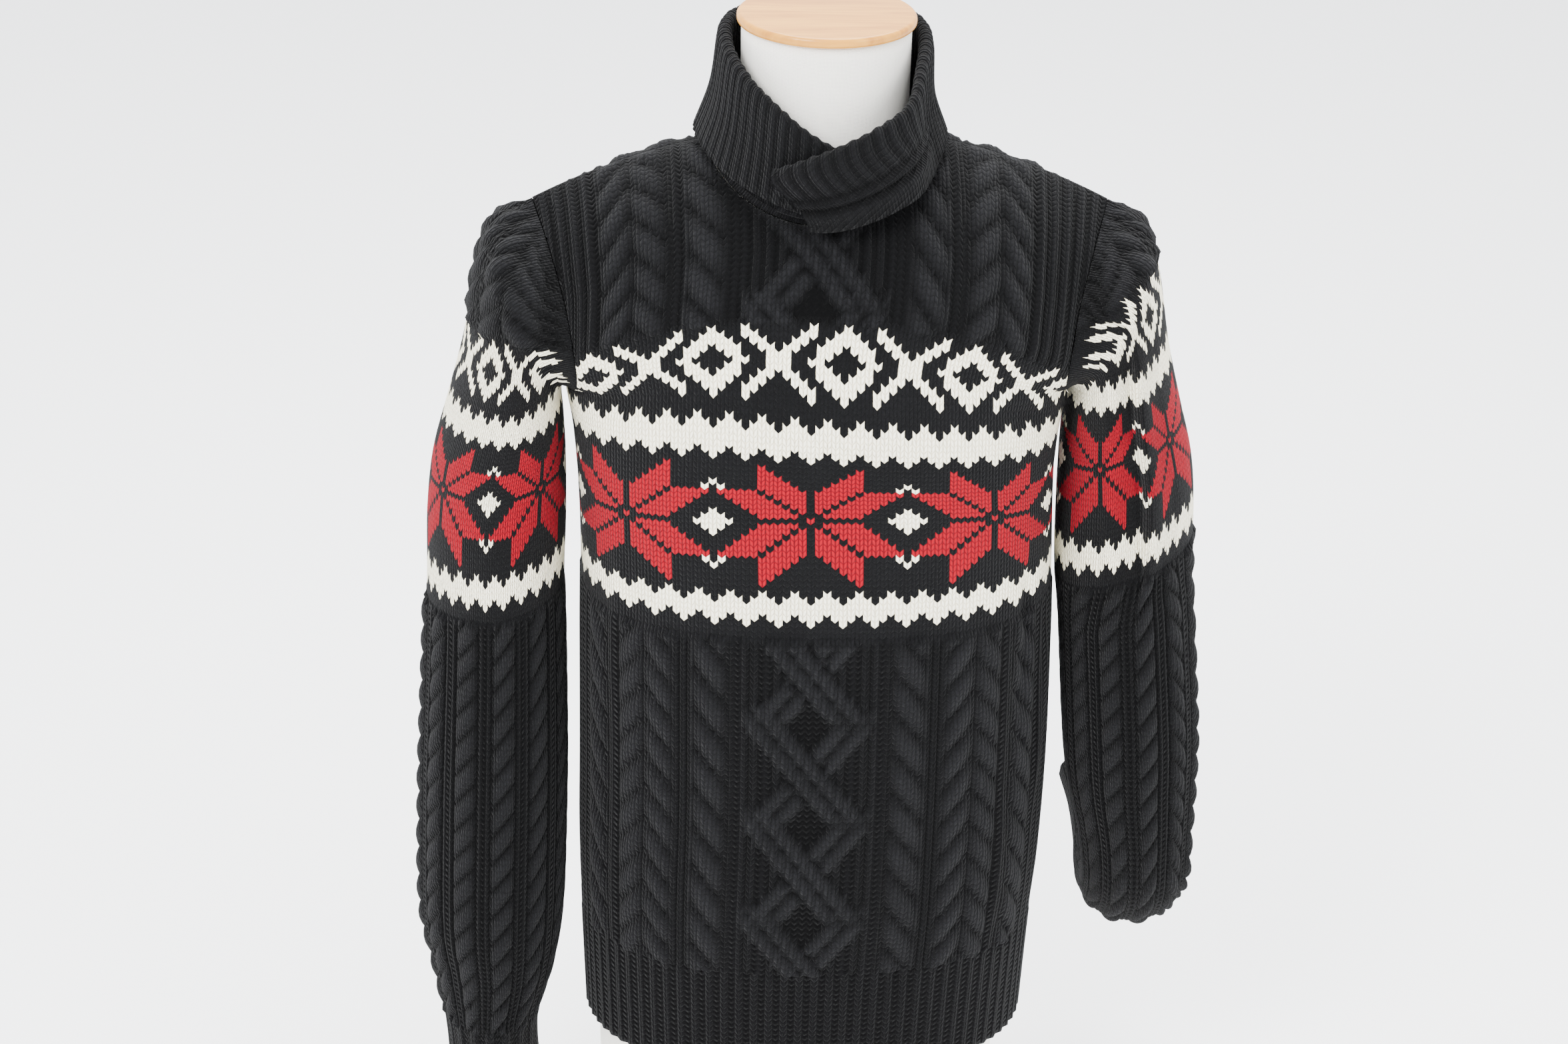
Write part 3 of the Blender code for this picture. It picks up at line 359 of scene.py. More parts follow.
def wall_object(name, outer, inner, faces, corners, masks, rises, material):
    """A closed wall: outer faces with stitch coordinates and yarn masks, the inside, and a rim between them.

    corners holds each outer face's four (stitch, row) pairs, and masks whether it is cream, red or purl.
    rises are the painted light and shade of each vertex, from 0 in painted shade to 1 fully lit, outside and
    inside.
    """
    count = len(outer)
    rim = rim_of(faces)
    inside = faces[:, ::-1] + count
    band = np.stack([rim[:, 1], rim[:, 0], rim[:, 0] + count, rim[:, 1] + count], axis=1)
    quads = np.concatenate([faces, inside, band])
    at = {}
    for face, pairs in zip(faces.tolist(), corners.tolist()):
        for vertex, pair in zip(face, pairs):
            at.setdefault(vertex, pair)
    rim_corners = []
    for a, b in rim.tolist():
        lower = [[at[end][0], at[end][1] - RIM_ROWS] for end in (a, b)]
        rim_corners.append([at[b], at[a], *lower])
    stitch_uv = corners.tolist() + corners[:, ::-1].tolist() + rim_corners
    owner = {}
    for i, face in enumerate(faces.tolist()):
        for a, b in zip(face, face[1:] + face[:1]):
            owner[a, b] = i
    rim_masks = masks[[owner[a, b] for a, b in rim.tolist()]]
    yarn = np.concatenate([masks, masks, rim_masks])
    solid, uv = [], []
    for quad, pairs in zip(quads.tolist(), stitch_uv):
        kept = [k for k in range(4) if quad[k] != quad[k - 1]]
        solid.append([quad[k] for k in kept])
        uv.extend(pairs[k] for k in kept)
    piece = new_piece(name, np.concatenate([outer, inner]), solid, material)
    layer = piece.data.uv_layers.new(name="Stitches")
    layer.uv.foreach_set("vector", np.asarray(uv, np.float32).reshape(-1))
    marks = [(label, "FACE", yarn[:, column]) for column, label in enumerate(("Cream", "Red", "Purl"))]
    # The point attribute holds painted light and shade, from 0 in painted shade to 1 lit.
    for label, domain, values in (*marks, ("PaintedLight", "POINT", np.concatenate(rises))):
        mark = piece.data.attributes.new(label, "FLOAT", domain)
        mark.data.foreach_set("value", values.astype(np.float32))
    piece.data.update()
    return piece


# %% [markdown]
# ## The knit: cables, ribs and the coloured band
#
# A cable is knitted by crossing groups of stitches every few rows, which leaves a rope that stands out 4 mm.
# Between ropes lie thin ribs on a purl ground. The band is plain knit in three yarns, from a chart that is
# worked by counting: a zigzag, a row of stars and small diamonds, a broad zigzag, then Xs and Os.


# %% Heights of ropes, nested Vs, lattice and ribs, from 0 to 1
GROOVE_HEIGHT = 0.08  # of a rope, where its strands meet
TWIST_POWER = 0.7


def strand_height(across, turns):
    """Height of a rope at this place from its middle, -1 to 1, after this many of its half turns."""
    ridge = np.sqrt(np.clip(1 - across**2, 0, 1))
    twist = np.abs(np.sin(np.pi * turns))
    return ridge * (GROOVE_HEIGHT + (1 - GROOVE_HEIGHT) * twist**TWIST_POWER)


def rope(across, row, half, rows, lean):
    """Two strands that cross: a row of fat slanting bulges with narrow grooves between them."""
    return strand_height(across / half, row / rows - lean * across / (2 * half))


def chevrons(across, row, half, rows):
    """Two ropes that lean away from each other, which read as nested inverted Vs."""
    own = np.abs(across) - half / 2
    return strand_height(own / (half / 2), row / rows + np.abs(across) / half)


STRAND_HALF = 1.5
STRAND_STEP = 2.9  # between the two strands of a pair
STRAND_ENTRY = -6.6  # where a pair comes in
STRAND_TRAVEL = 11.6  # how far it runs across in LATTICE_ROWS
STRAND_END = 1.22  # how many times LATTICE_ROWS it lasts
LATTICE_EDGE = 8.6
LATTICE_RIBS = (3.4, 5.6, 1.45)  # where the ribs beside the strands begin, their middle and their width


def lattice(across, row):
    """Pairs of strands that run in from both edges and cross, one over the other, with ribs beside them."""
    start = np.where(row < 0, *LATTICE_STARTS)
    phase = ((start - row) / LATTICE_ROWS) % 1.0
    over, under = np.zeros_like(across), np.zeros_like(across)
    for turn in (phase, phase + 1.0):
        line = STRAND_ENTRY + STRAND_TRAVEL * turn
        alive = np.clip((STRAND_END - turn) * 8, 0, 1) * np.clip((LATTICE_EDGE - np.abs(across)) * 2, 0, 1)
        for step in (0.0, -STRAND_STEP):
            for strands, sign in ((over, 1), (under, -1)):
                away = (sign * across - line - step) / STRAND_HALF
                strands[:] = np.maximum(strands, alive * np.clip(1 - away**2, 0, 1) ** 0.8)
        middle = np.abs(across - line + STRAND_STEP / 2)
        under *= 1 - alive * np.clip((STRAND_STEP + 0.5 - middle) * 3, 0, 1)
    strand = np.maximum(over, 0.9 * under)
    begin, middle, width = LATTICE_RIBS
    outside = np.clip((np.abs(across) - begin) * 2, 0, 1) * (strand < 0.05)
    return strand + outside * 0.5 * rib(np.abs(across) - middle, width)


def rib(across, period=2.0):
    return 0.5 + 0.5 * np.cos(2 * np.pi * across / period)


# %% Which stitch is which on the body: kind, first and last stitch from the centre
PATTERN = (
    ("lattice", 0.0, 8.6),
    ("rib", 8.6, 10.6),
    ("rope", 10.6, 15.3),
    ("rib", 15.3, 17.7),
    ("chevrons", 17.7, 26.3),
    ("rib", 26.3, 28.7),
    ("rope", 28.7, 33.3),
    ("side ribs", 33.3, 44.6),
)
YOKE_RIBS_FROM = 26.3
# Rows, and how wide a stitch is there against the part's own stitch
GAUGES = ((-101, 1.03), (0, 1.03), (16, 1.01), (27, 0.997), (68, 0.99))


def gauge(row):
    return np.interp(row, *zip(*GAUGES))


def body_relief(stitch, row):
    """How far the knit of the body stands out, in metres."""
    unit = stitch * gauge(row)
    a = np.abs(unit)
    lean = np.sign(stitch)
    height = np.zeros_like(a)
    for kind, first, last in PATTERN:
        across = a - (first + last) / 2
        if kind == "lattice":
            value = CABLE_RISE * lattice(unit, row)
        elif kind == "rib":
            value = RIB_RISE * rib(across, (last - first) / 2)
        elif kind == "rope":
            value = CABLE_RISE * rope(across, row, (last - first) / 2, ROPE_ROWS, -lean)
        elif kind == "chevrons":
            value = CABLE_RISE * chevrons(across, row, (last - first) / 2, CHEVRON_ROWS)
        else:
            value = 0.6 * RIB_RISE * rib(across)
        if first >= YOKE_RIBS_FROM:
            value = np.where(row > BAND_TOP_ROW, 1.2 * RIB_RISE * rib(a - 27.5, 1.8), value)
        height = np.where((a >= first) & (a < last), value, height)
    worked = (row < BAND_BOTTOM_ROW) | (row > BAND_TOP_ROW)
    hem = HEM_RIB_RISE * rib(stitch)
    return np.where(row <= RIB_TOP_ROW, hem, np.where(worked, height, 0.0))


# %% The colour chart
CREAM, RED = 1, 2
STAR_REPEAT = 24
CROSS_REPEAT = 16
CROSS_ROW = 27
RING_HALVES = np.array((4, 3, 3, 2, 1, 0))


def chart(stitch, row, cross_shift=4):
    """Yarn of each stitch: 0 charcoal, 1 cream, 2 red."""
    across = (stitch + STAR_REPEAT // 2) % STAR_REPEAT - STAR_REPEAT // 2
    a, b = np.abs(across), np.abs(row)
    low, high = np.minimum(a, b), np.maximum(a, b)
    yarn = np.zeros_like(row)
    petals = (low >= 1) & (low <= 6) & (high > low) & (high <= low + 5)
    yarn[petals | (high == 0)] = RED
    from_diamond = STAR_REPEAT // 2 - a
    diamond = from_diamond + b <= 2
    chevron = ((from_diamond == 1) & (b == 7)) | ((from_diamond == 0) & (b == 8))
    yarn[diamond | chevron] = CREAM
    step = stitch % 4
    for first, last in ((13, 19), (-18, -13)):
        inside = (row >= first) & (row <= last)
        lower = np.where(row == first, step == 0, (row != first + 1) | (step != 2))
        upper = np.where(row == last, step == 2, (row != last - 1) | (step != 0))
        yarn[inside & lower & upper] = CREAM
    across = (stitch - cross_shift + CROSS_REPEAT // 2) % CROSS_REPEAT - CROSS_REPEAT // 2
    a, b = np.abs(across), np.abs(row - CROSS_ROW)
    in_rows = b <= 5
    ring = in_rows & (a <= RING_HALVES[np.minimum(b, 5)])
    ring &= a + b > 2
    a = CROSS_REPEAT // 2 - a
    cross = in_rows & ((a == b) | (a == b - 1)) & (a <= 4) | ((b == 0) & (a <= 1))
    yarn[ring | cross] = CREAM
    return yarn


def yarn_masks(stitch, row, height, cross_shift=4):
    """Cream, red and purl shares of each face."""
    yarn = chart(stitch, row, cross_shift)
    purl = ((row > BAND_TOP_ROW) | (row < BAND_BOTTOM_ROW)) & (height < 0.3 * RIB_RISE)
    return np.stack([yarn == CREAM, yarn == RED, purl], axis=1).astype(float)


# %% [markdown]
# ## Materials
#
# Wool yarn is matt and hairy. Each stitch is a V of two soft legs, which the bump draws from the piece's own
# stitch coordinates, so that it follows every curve of the cloth. One material serves the charcoal, cream
# and red yarn.


# %% Node helpers
def new_material(name):
    material = bpy.data.materials.new(name)
    material.use_nodes = True
    return material, material.node_tree, material.node_tree.nodes["Principled BSDF"]


def math_node(tree, operation, a, b=None, c=None, clamp=False):
    """A Math node fed with sockets or numbers. Gives its output socket."""
    node = tree.nodes.new("ShaderNodeMath")
    node.operation = operation
    node.use_clamp = clamp
    for socket, value in zip(node.inputs, (a, b, c)):
        if value is None:
            continue
        if isinstance(value, (int, float)):
            socket.default_value = value
        else:
            tree.links.new(value, socket)
    return node.outputs[0]


def mix_colours(tree, share, first, second):
    """A Mix node for colours, fed with sockets or (r, g, b). Gives its output socket."""
    node = tree.nodes.new("ShaderNodeMix")
    node.data_type = "RGBA"
    sockets = [s for s in node.inputs if s.type == "RGBA"]
    for socket, value in zip((node.inputs[0], *sockets), (share, first, second)):
        if isinstance(value, bpy.types.NodeSocket):
            tree.links.new(value, socket)
        elif isinstance(value, tuple):
            socket.default_value = (*value, 1)
        else:
            socket.default_value = value
    return next(s for s in node.outputs if s.type == "RGBA")


def object_place(tree):
    return tree.nodes.new("ShaderNodeTexCoord").outputs["Object"]


def set_inputs(node, values):
    for name, value in values.items():
        node.inputs[name].default_value = value


def noise(tree, place, scale, detail=2, distortion=0):
    """A Noise node's value at this place."""
    node = tree.nodes.new("ShaderNodeTexNoise")
    set_inputs(node, {"Scale": scale, "Detail": detail, "Distortion": distortion})
    tree.links.new(place, node.inputs["Vector"])
    return node.outputs["Fac"]


def bumped(tree, height, distance, normal=None):
    """A Bump node's normal, on top of another one where there is one."""
    node = tree.nodes.new("ShaderNodeBump")
    node.inputs["Distance"].default_value = distance
    tree.links.new(height, node.inputs["Height"])
    if normal is not None:
        tree.links.new(normal, node.inputs["Normal"])
    return node.outputs[0]


def new_group(name, inputs, outputs):
    """A shader node group with named (name, socket type) inputs and outputs."""
    group = bpy.data.node_groups.new(name, "ShaderNodeTree")
    for label, kind in inputs:
        group.interface.new_socket(label, in_out="INPUT", socket_type=kind)
    for label, kind in outputs:
        group.interface.new_socket(label, in_out="OUTPUT", socket_type=kind)
    start = group.nodes.new("NodeGroupInput")
    end = group.nodes.new("NodeGroupOutput")
    return group, start, end


# %% Stitches as heights
LEG_POWER, TIP_POWER, RIDGE_POWER = 0.6, 0.35, 1.2


def humps(tree, value, power):
    """One hump for each whole number, the broader the lower the power."""
    wave = math_node(tree, "SINE", math_node(tree, "MULTIPLY", value, math.pi))
    return math_node(tree, "POWER", math_node(tree, "ABSOLUTE", wave), power)


def stitch_group():
    """Height of knit or purl stitches, from 0 to 1, in stitch coordinates."""
    inputs = (("Stitches", "NodeSocketVector"), ("Purl", "NodeSocketFloat"))
    group, start, end = new_group("Knit stitches", inputs, (("Height", "NodeSocketFloat"),))
    parts = group.nodes.new("ShaderNodeSeparateXYZ")
    group.links.new(start.outputs["Stitches"], parts.inputs[0])
    u, v = parts.outputs[0], parts.outputs[1]
    legs = humps(group, math_node(group, "FRACT", math_node(group, "MULTIPLY", u, 2.0)), LEG_POWER)
    tips = humps(group, math_node(group, "FRACT", v), TIP_POWER)
    knit = math_node(group, "MULTIPLY", legs, tips)
    beads = math_node(group, "COSINE", math_node(group, "MULTIPLY", u, 2 * math.pi))
    beads = math_node(group, "MULTIPLY_ADD", beads, 0.25, 0.6)
    purl = math_node(group, "MULTIPLY", humps(group, v, RIDGE_POWER), beads)
    step = math_node(group, "MULTIPLY", math_node(group, "SUBTRACT", purl, knit), start.outputs["Purl"])
    group.links.new(math_node(group, "ADD", knit, step), end.inputs["Height"])
    return group


# %% Wool, linen and maple
# Charcoal from painted shade to painted light; cream and red in painted shade between stitch legs and lit on
# them.
CHARCOAL = (0.0003, 0.0003, 0.0004)
CHARCOAL_LIT = (0.0100, 0.0100, 0.0112)
CREAM_YARN = (0.96, 0.92, 0.73)
CREAM_SHADED = (0.80, 0.70, 0.46)
RED_YARN = (0.27, 0.0, 0.0095)
RED_SHADED = (0.07, 0.0, 0.0025)
LINEN, LINEN_SLUB = (0.80, 0.77, 0.70), (0.90, 0.88, 0.82)
MAPLE_GRAIN, MAPLE = (0.38, 0.14, 0.008), (0.60, 0.27, 0.024)
MAPLE_STRETCH = (14, 160, 60)
STITCH_DEPTH = 0.0012
FUZZ_DEPTH = 0.0007
WEAVE_DEPTH = 0.0003


def wool_material():
    material, tree, shader = new_material("Knitted wool")
    uv = tree.nodes.new("ShaderNodeUVMap")
    uv.uv_map = "Stitches"
    marks = {}
    for label in ("Cream", "Red", "Purl", "PaintedLight"):
        node = tree.nodes.new("ShaderNodeAttribute")
        node.attribute_name = label
        marks[label] = node.outputs["Fac"]
    stitches = tree.nodes.new("ShaderNodeGroup")
    stitches.node_tree = stitch_group()
    tree.links.new(uv.outputs[0], stitches.inputs["Stitches"])
    tree.links.new(marks["Purl"], stitches.inputs["Purl"])
    height = stitches.outputs["Height"]
    place = object_place(tree)
    fuzz = noise(tree, place, 620, detail=3)
    patch_noise = noise(tree, place, 28)
    # Painted light on the charcoal: darker in grooves, lighter on cables and on each stitch leg's top, from
    # the painted light attribute and the stitch height. Fine fuzz and random patches make this painted light
    # stronger or weaker.
    lit = math_node(tree, "MULTIPLY", math_node(tree, "MULTIPLY_ADD", height, 0.6, 0.4), marks["PaintedLight"])
    lit = math_node(tree, "MULTIPLY", lit, math_node(tree, "MULTIPLY_ADD", fuzz, 1.0, 0.2))
    worn = math_node(tree, "MULTIPLY_ADD", patch_noise, 0.8, 0.6)
    lit = math_node(tree, "MULTIPLY", lit, worn, clamp=True)
    charcoal = mix_colours(tree, lit, CHARCOAL, CHARCOAL_LIT)
    # Painted shade between the stitch legs of the cream and red yarn; the legs' tops are lit.
    deep = math_node(tree, "MULTIPLY_ADD", height, 1.1, 0.1, clamp=True)
    cream = mix_colours(tree, deep, CREAM_SHADED, CREAM_YARN)
    red = mix_colours(tree, deep, RED_SHADED, RED_YARN)
    colour = mix_colours(tree, marks["Cream"], charcoal, cream)
    colour = mix_colours(tree, marks["Red"], colour, red)
    tree.links.new(colour, shader.inputs["Base Color"])
    stitched = bumped(tree, height, STITCH_DEPTH)
    tree.links.new(bumped(tree, fuzz, FUZZ_DEPTH, stitched), shader.inputs["Normal"])
    set_inputs(shader, {"Roughness": 0.95, "Specular IOR Level": 0.08})
    set_inputs(shader, {"Sheen Weight": 0.03, "Sheen Roughness": 0.45})
    return material


def linen_material():
    material, tree, shader = new_material("Padded linen")
    place = object_place(tree)
    threads = []
    for direction in ("X", "Z"):
        wave = tree.nodes.new("ShaderNodeTexWave")
        wave.bands_direction = direction
        set_inputs(wave, {"Scale": 330, "Distortion": 0.6})
        tree.links.new(place, wave.inputs["Vector"])
        threads.append(wave.outputs["Fac"])
    weave = math_node(tree, "MULTIPLY", *threads)
    tone = math_node(tree, "MULTIPLY_ADD", noise(tree, place, 60), 0.6, 0.2)
    tree.links.new(mix_colours(tree, tone, LINEN, LINEN_SLUB), shader.inputs["Base Color"])
    tree.links.new(bumped(tree, weave, WEAVE_DEPTH), shader.inputs["Normal"])
    set_inputs(shader, {"Roughness": 0.85})
    return material


def maple_material():
    material, tree, shader = new_material("Varnished maple")
    stretch = tree.nodes.new("ShaderNodeMapping")
    stretch.inputs["Scale"].default_value = MAPLE_STRETCH
    tree.links.new(object_place(tree), stretch.inputs["Vector"])
    grain = noise(tree, stretch.outputs[0], 1, detail=5, distortion=0.6)
    lines = math_node(tree, "MULTIPLY_ADD", grain, 2.2, -0.6, clamp=True)
    tree.links.new(mix_colours(tree, lines, MAPLE_GRAIN, MAPLE), shader.inputs["Base Color"])
    set_inputs(shader, {"Roughness": 0.4, "Specular IOR Level": 0.25})
    set_inputs(shader, {"Coat Weight": 0.25, "Coat Roughness": 0.06})
    return material


wool = wool_material()
linen = linen_material()
maple = maple_material()
print("Materials:", wool.name, linen.name, maple.name)

# %% [markdown]
# ## Front and back
#
# Each is one wall from the ribbed hem to the shoulder seam. A line of the mesh runs along the foot of each
# row of stitches and zigzags with them, so a colour changes where a real stitch does.


# %% Where the rows and stitches lie as worn
PLACES_ACROSS = (-42, -20, 0, 18, 42)  # stitches of the part from its centre
# Each knit row, and the part's rows that it lies on at those places
PLACED = (
    (-101, (-101, -101, -101, -101, -101)),
    (-82, (-82, -82, -82, -82, -82)),
    (-32, (-31, -31.6, -32, -31.8, -31)),
    (-15.5, (-13.6, -14.9, -15.5, -15.2, -13)),
    (0, (1.2, 0.3, 0, 0.2, 0.2)),
    (16, (18.8, 15.8, 12.6, 12.9, 16.6)),
    (27, (32.0, 29.0, 25.3, 25.7, 28.4)),
    (45, (47.5, 45.6, 44.2, 44.4, 46)),
    (68, (68, 68, 68, 68, 68)),
)
# Rows, and how many stitches the pattern is moved sideways there
SHIFTS = {
    "front": ((-101, -2.2), (-16, -2.2), (27, -2.2), (45, -1.2), (68, -1.2)),
    "back": ((-101, 0.8), (68, 0.8)),
}


def placed_rows(units, rows, lift):
    """The part's row that each knit row lies on. The band sags at the centre and rises at the sides."""
    known, places = [line[0] for line in PLACED], [line[1] for line in PLACED]
    below, above = curve(known, places, rows), curve(known, places, np.minimum(rows + 1, SHOULDER_ROW))
    placed = np.empty_like(units)
    for i in range(len(rows)):
        low, high = (curve(PLACES_ACROSS, knots[i], units[i]) for knots in (below, above))
        placed[i] = low + (high - low) * lift[i]
    return placed


# %% Creases of the worn cloth: start, end, half width and height of each
CREASES = (
    ((0.086, -0.066, 0.822), (0.094, -0.110, 0.765), 0.009, -0.0045),
    ((0.101, -0.062, 0.818), (0.108, -0.105, 0.772), 0.008, 0.0035),
    ((0.115, -0.060, 0.812), (0.120, -0.100, 0.770), 0.008, -0.0030),
    ((-0.082, -0.070, 0.820), (-0.100, -0.112, 0.770), 0.009, -0.0030),
    ((-0.050, -0.096, 0.806), (-0.105, -0.088, 0.796), 0.008, 0.0025),
    ((-0.020, -0.114, 0.790), (0.050, -0.114, 0.783), 0.009, 0.0045),
    ((0.050, -0.114, 0.783), (0.080, -0.104, 0.800), 0.009, 0.0035),
    ((-0.160, -0.075, 0.655), (-0.120, -0.118, 0.690), 0.014, -0.0035),
    ((0.162, -0.072, 0.650), (0.118, -0.120, 0.672), 0.014, -0.0040),
    ((-0.150, -0.085, 0.560), (-0.156, -0.080, 0.420), 0.016, 0.0030),
    ((0.155, -0.078, 0.540), (0.150, -0.086, 0.400), 0.013, -0.0045),
    ((0.168, -0.052, 0.470), (0.163, -0.062, 0.330), 0.013, 0.0040),
    ((0.140, -0.098, 0.350), (0.146, -0.092, 0.240), 0.014, 0.0030),
    ((-0.140, -0.096, 0.330), (-0.148, -0.088, 0.225), 0.015, -0.0030),
    ((0.060, -0.124, 0.270), (0.064, -0.122, 0.200), 0.018, -0.0020),
    ((-0.155, 0.070, 0.650), (-0.110, 0.104, 0.685), 0.015, -0.0035),
    ((0.158, 0.068, 0.648), (0.112, 0.104, 0.680), 0.015, -0.0040),
    ((-0.040, 0.112, 0.560), (-0.060, 0.110, 0.430), 0.018, 0.0030),
    ((0.070, 0.108, 0.520), (0.085, 0.104, 0.380), 0.018, -0.0035),
    ((0.020, 0.110, 0.420), (0.010, 0.112, 0.280), 0.020, 0.0025),
    ((-0.085, 0.060, 0.815), (-0.095, 0.092, 0.765), 0.010, -0.0030),
    ((0.090, 0.058, 0.812), (0.100, 0.092, 0.760), 0.010, -0.0030),
)


def creased(points, normals, share):
    """Points moved along their normals by this share of the creases near them."""
    heights = np.zeros(len(points))
    for start, end, half, height in CREASES:
        a, b = np.array(start), np.array(end)
        along = ((points - a) @ (b - a)) / ((b - a) @ (b - a))
        away = np.linalg.norm(points - (a + np.clip(along, 0, 1)[:, None] * (b - a)), axis=1)
        ends = smooth(along, -0.15, 0.35) * smooth(along, 1.15, 0.65)
        heights += height * bump(away, 0.0, half) * ends
    return points + normals * (heights * share)[:, None]


# %% What the panels and the sleeves share
def stitch_lift(s):
    """Rows by which the line at a row's foot rises at each half stitch. The first line is straight."""
    lift = np.where(np.abs(s % 1.0 - 0.5) < 0.25, SLANT, 0.0)
    lift[0] = 0.0
    return lift


def face_corners(places):
    """The lines and the columns of the grid at each face's four corners."""
    line, column = places[:, 0], places[:, 1]
    lines = np.stack([line, line, line + 1, line + 1], axis=1)
    return lines, np.stack([column, column + 1, column + 1, column], axis=1)


def light_shares(relief, row):
    """How much light each vertex catches, outside and inside. The coloured band is lit evenly."""
    in_band = (row > BAND_BOTTOM_ROW - 0.5) & (row < BAND_TOP_ROW + 0.5)
    rise = np.clip(RISE_GAIN * relief / CABLE_RISE, 0, 1) ** RISE_POWER
    return np.where(in_band, BAND_SHADE, rise), np.full(len(relief), INSIDE_SHADE)


# %% The two body panels
FIRST_STITCH, LAST_STITCH = -47, 49.5
EDGE_FADE = 2.5  # stitches from a side seam or armhole over which the relief comes in


def panel(side):
    stitches = np.arange(2 * FIRST_STITCH, 2 * LAST_STITCH + 1) / 2
    rows = np.arange(HEM_ROW, SHOULDER_ROW + 1)
    s, r = np.meshgrid(stitches, rows.astype(float))
    lift = stitch_lift(s)
    v = np.minimum(r + lift, SHOULDER_ROW)
    shift = np.interp(v, *zip(*SHIFTS[side]))
    units = (s + shift) * gauge(v)
    top = neck_row(side, units)
    placed = np.minimum(placed_rows(units, rows.astype(float), lift), top)
    points, cut_units, edge = body_places(side, units, placed)
    gone = (np.abs(units) > np.abs(cut_units) + 1e-6) | (placed >= top - 1e-9)
    cut = cut_units / gauge(v) - shift
    first, faces, places = knit_grid(points, gone, side == "back")
    base = points.reshape(-1, 3)[first]
    from_side = (edge - np.abs(cut_units)).ravel()[first]
    from_neck = (top - placed).ravel()[first]
    away = smooth(from_side, 0, 2 * EDGE_FADE) * smooth(from_neck, 0, 2 * EDGE_FADE)
    base = creased(base, vertex_normals(base, faces), away)
    normals = vertex_normals(base, faces)
    stitch_at, row_at = cut.ravel()[first], v.ravel()[first]
    fade = np.clip(from_side / EDGE_FADE, 0.05, 1.0) * np.clip(from_neck / 2, 0, 1)
    relief = body_relief(stitch_at, row_at)
    outer = base + normals * (relief * fade)[:, None]
    inner = base - normals * WALL
    lines, columns = face_corners(places)
    corners = np.stack([cut[lines, columns], (v - lift)[lines, columns]], axis=2)
    if side == "back":
        corners = corners[:, ::-1]
    stitch = np.round(stitches[columns[:, :2]].mean(axis=1)).astype(int)
    row = rows[lines[:, 0]]
    masks = yarn_masks(stitch, row, body_relief(stitch.astype(float), row + 0.5))
    rises = light_shares(relief, row_at)
    return wall_object(f"{side}_knit", outer, inner, faces, corners, masks, rises, wool)


front_knit = panel("front")
back_knit = panel("back")

# %% [markdown]
# ## Sleeves
#
# A sleeve is knitted as a tube of 96 stitches up from the cuff. Rings down it give its worn shape: the right
# sleeve hangs straight, and the left one is bent and tucked behind. The rows start level with the body's star
# row and are counted up and down the tube's own surface, so that the band runs round it as knitted.

# %% Rings down each sleeve, on the +X side: x, y, z, half width, half depth, tilt and pitch
UPPER_RINGS = (
    (0.2070, 0.000, 0.7130, 0.0640, 0.0770, 68, 0),
    (0.2140, -0.001, 0.6950, 0.0575, 0.0745, 59, 0),
    (0.2185, -0.003, 0.6560, 0.0475, 0.0700, 41, 0),
    (0.2235, -0.004, 0.6200, 0.0475, 0.0660, 27, 0),
    (0.2290, -0.005, 0.5850, 0.0500, 0.0620, 15, 0),
    (0.2315, -0.006, 0.5480, 0.0510, 0.0590, 7, 0),
    (0.2325, -0.008, 0.5050, 0.0505, 0.0565, 1, 0),
)
HANGING_RINGS = (
    (0.2325, -0.012, 0.4600, 0.0515, 0.0550, 0, 0),
    (0.2335, -0.021, 0.3900, 0.0535, 0.0550, 0, 4),
    (0.2345, -0.028, 0.3350, 0.0545, 0.0545, 0, 6),
    (0.2360, -0.038, 0.2420, 0.0535, 0.0530, 0, 5),
    (0.2350, -0.042, 0.1945, 0.0460, 0.0480, 0, 3),
    (0.2370, -0.045, 0.1470, 0.0350, 0.0400, 0, 2),
    (0.2350, -0.047, 0.1050, 0.0335, 0.0370, 0, 0),
    (0.2330, -0.047, 0.0820, 0.0370, 0.0395, 0, 0),
)
TUCKED_RINGS = (
    (0.2370, -0.011, 0.4600, 0.0500, 0.0540, 0, 0),
    (0.2440, -0.016, 0.3800, 0.0505, 0.0530, 0, 0),
    (0.2475, -0.018, 0.3350, 0.0485, 0.0500, 0, 0),
    (0.2530, -0.019, 0.2890, 0.0430, 0.0440, 0, 4),
    (0.2570, -0.014, 0.2520, 0.0410, 0.0370, 0, 25),
    (0.2580, 0.006, 0.2270, 0.0395, 0.0330, 0, 62),
    (0.2575, 0.036, 0.2200, 0.0380, 0.0330, 0, 95),
    (0.2590, 0.068, 0.2290, 0.0370, 0.0340, 0, 112),
    (0.2570, 0.098, 0.2440, 0.0360, 0.0350, 0, 117),
    (0.2535, 0.124, 0.2570, 0.0370, 0.0360, 0, 117),
)
ARMHOLE_SPREAD = 1.25
ARMHOLE_GAP = 0.0006
DENSE = 360  # places around a sleeve
STEPS_PER_RING = 24
SLEEVE_STITCHES = 96

# %% Where the rows, the stitches and the upright fold lie on the sleeves
# Rows, and how far above row 0 each lies
DISTANCES = ((-205.5, -0.9294), (-15.5, -0.0744), (0, 0.0), (16, 0.056), (27, 0.1022), (87, 0.3662))
# Stitches of the left sleeve's band, which is bunched, and the turn of each
BUNCHED = ((-13, -90), (0, -30), (11, 7), (13, 9.5), (24, 40), (36, 90), (83, 270))
# Turns across the left sleeve's fold, and how far the cloth stands out there
FOLD = (
    (-24, 0.0),
    (-13, -0.0045),
    (2, -0.0065),
    (7.4, -0.0055),
    (9.2, 0.0045),
    (14, 0.0055),
    (24, 0.002),
    (34, 0.0),
)
FOLD_BOTTOM = (0.50, 0.55)  # heights between which the fold comes in
FOLD_TOP = (0.72, 0.67)
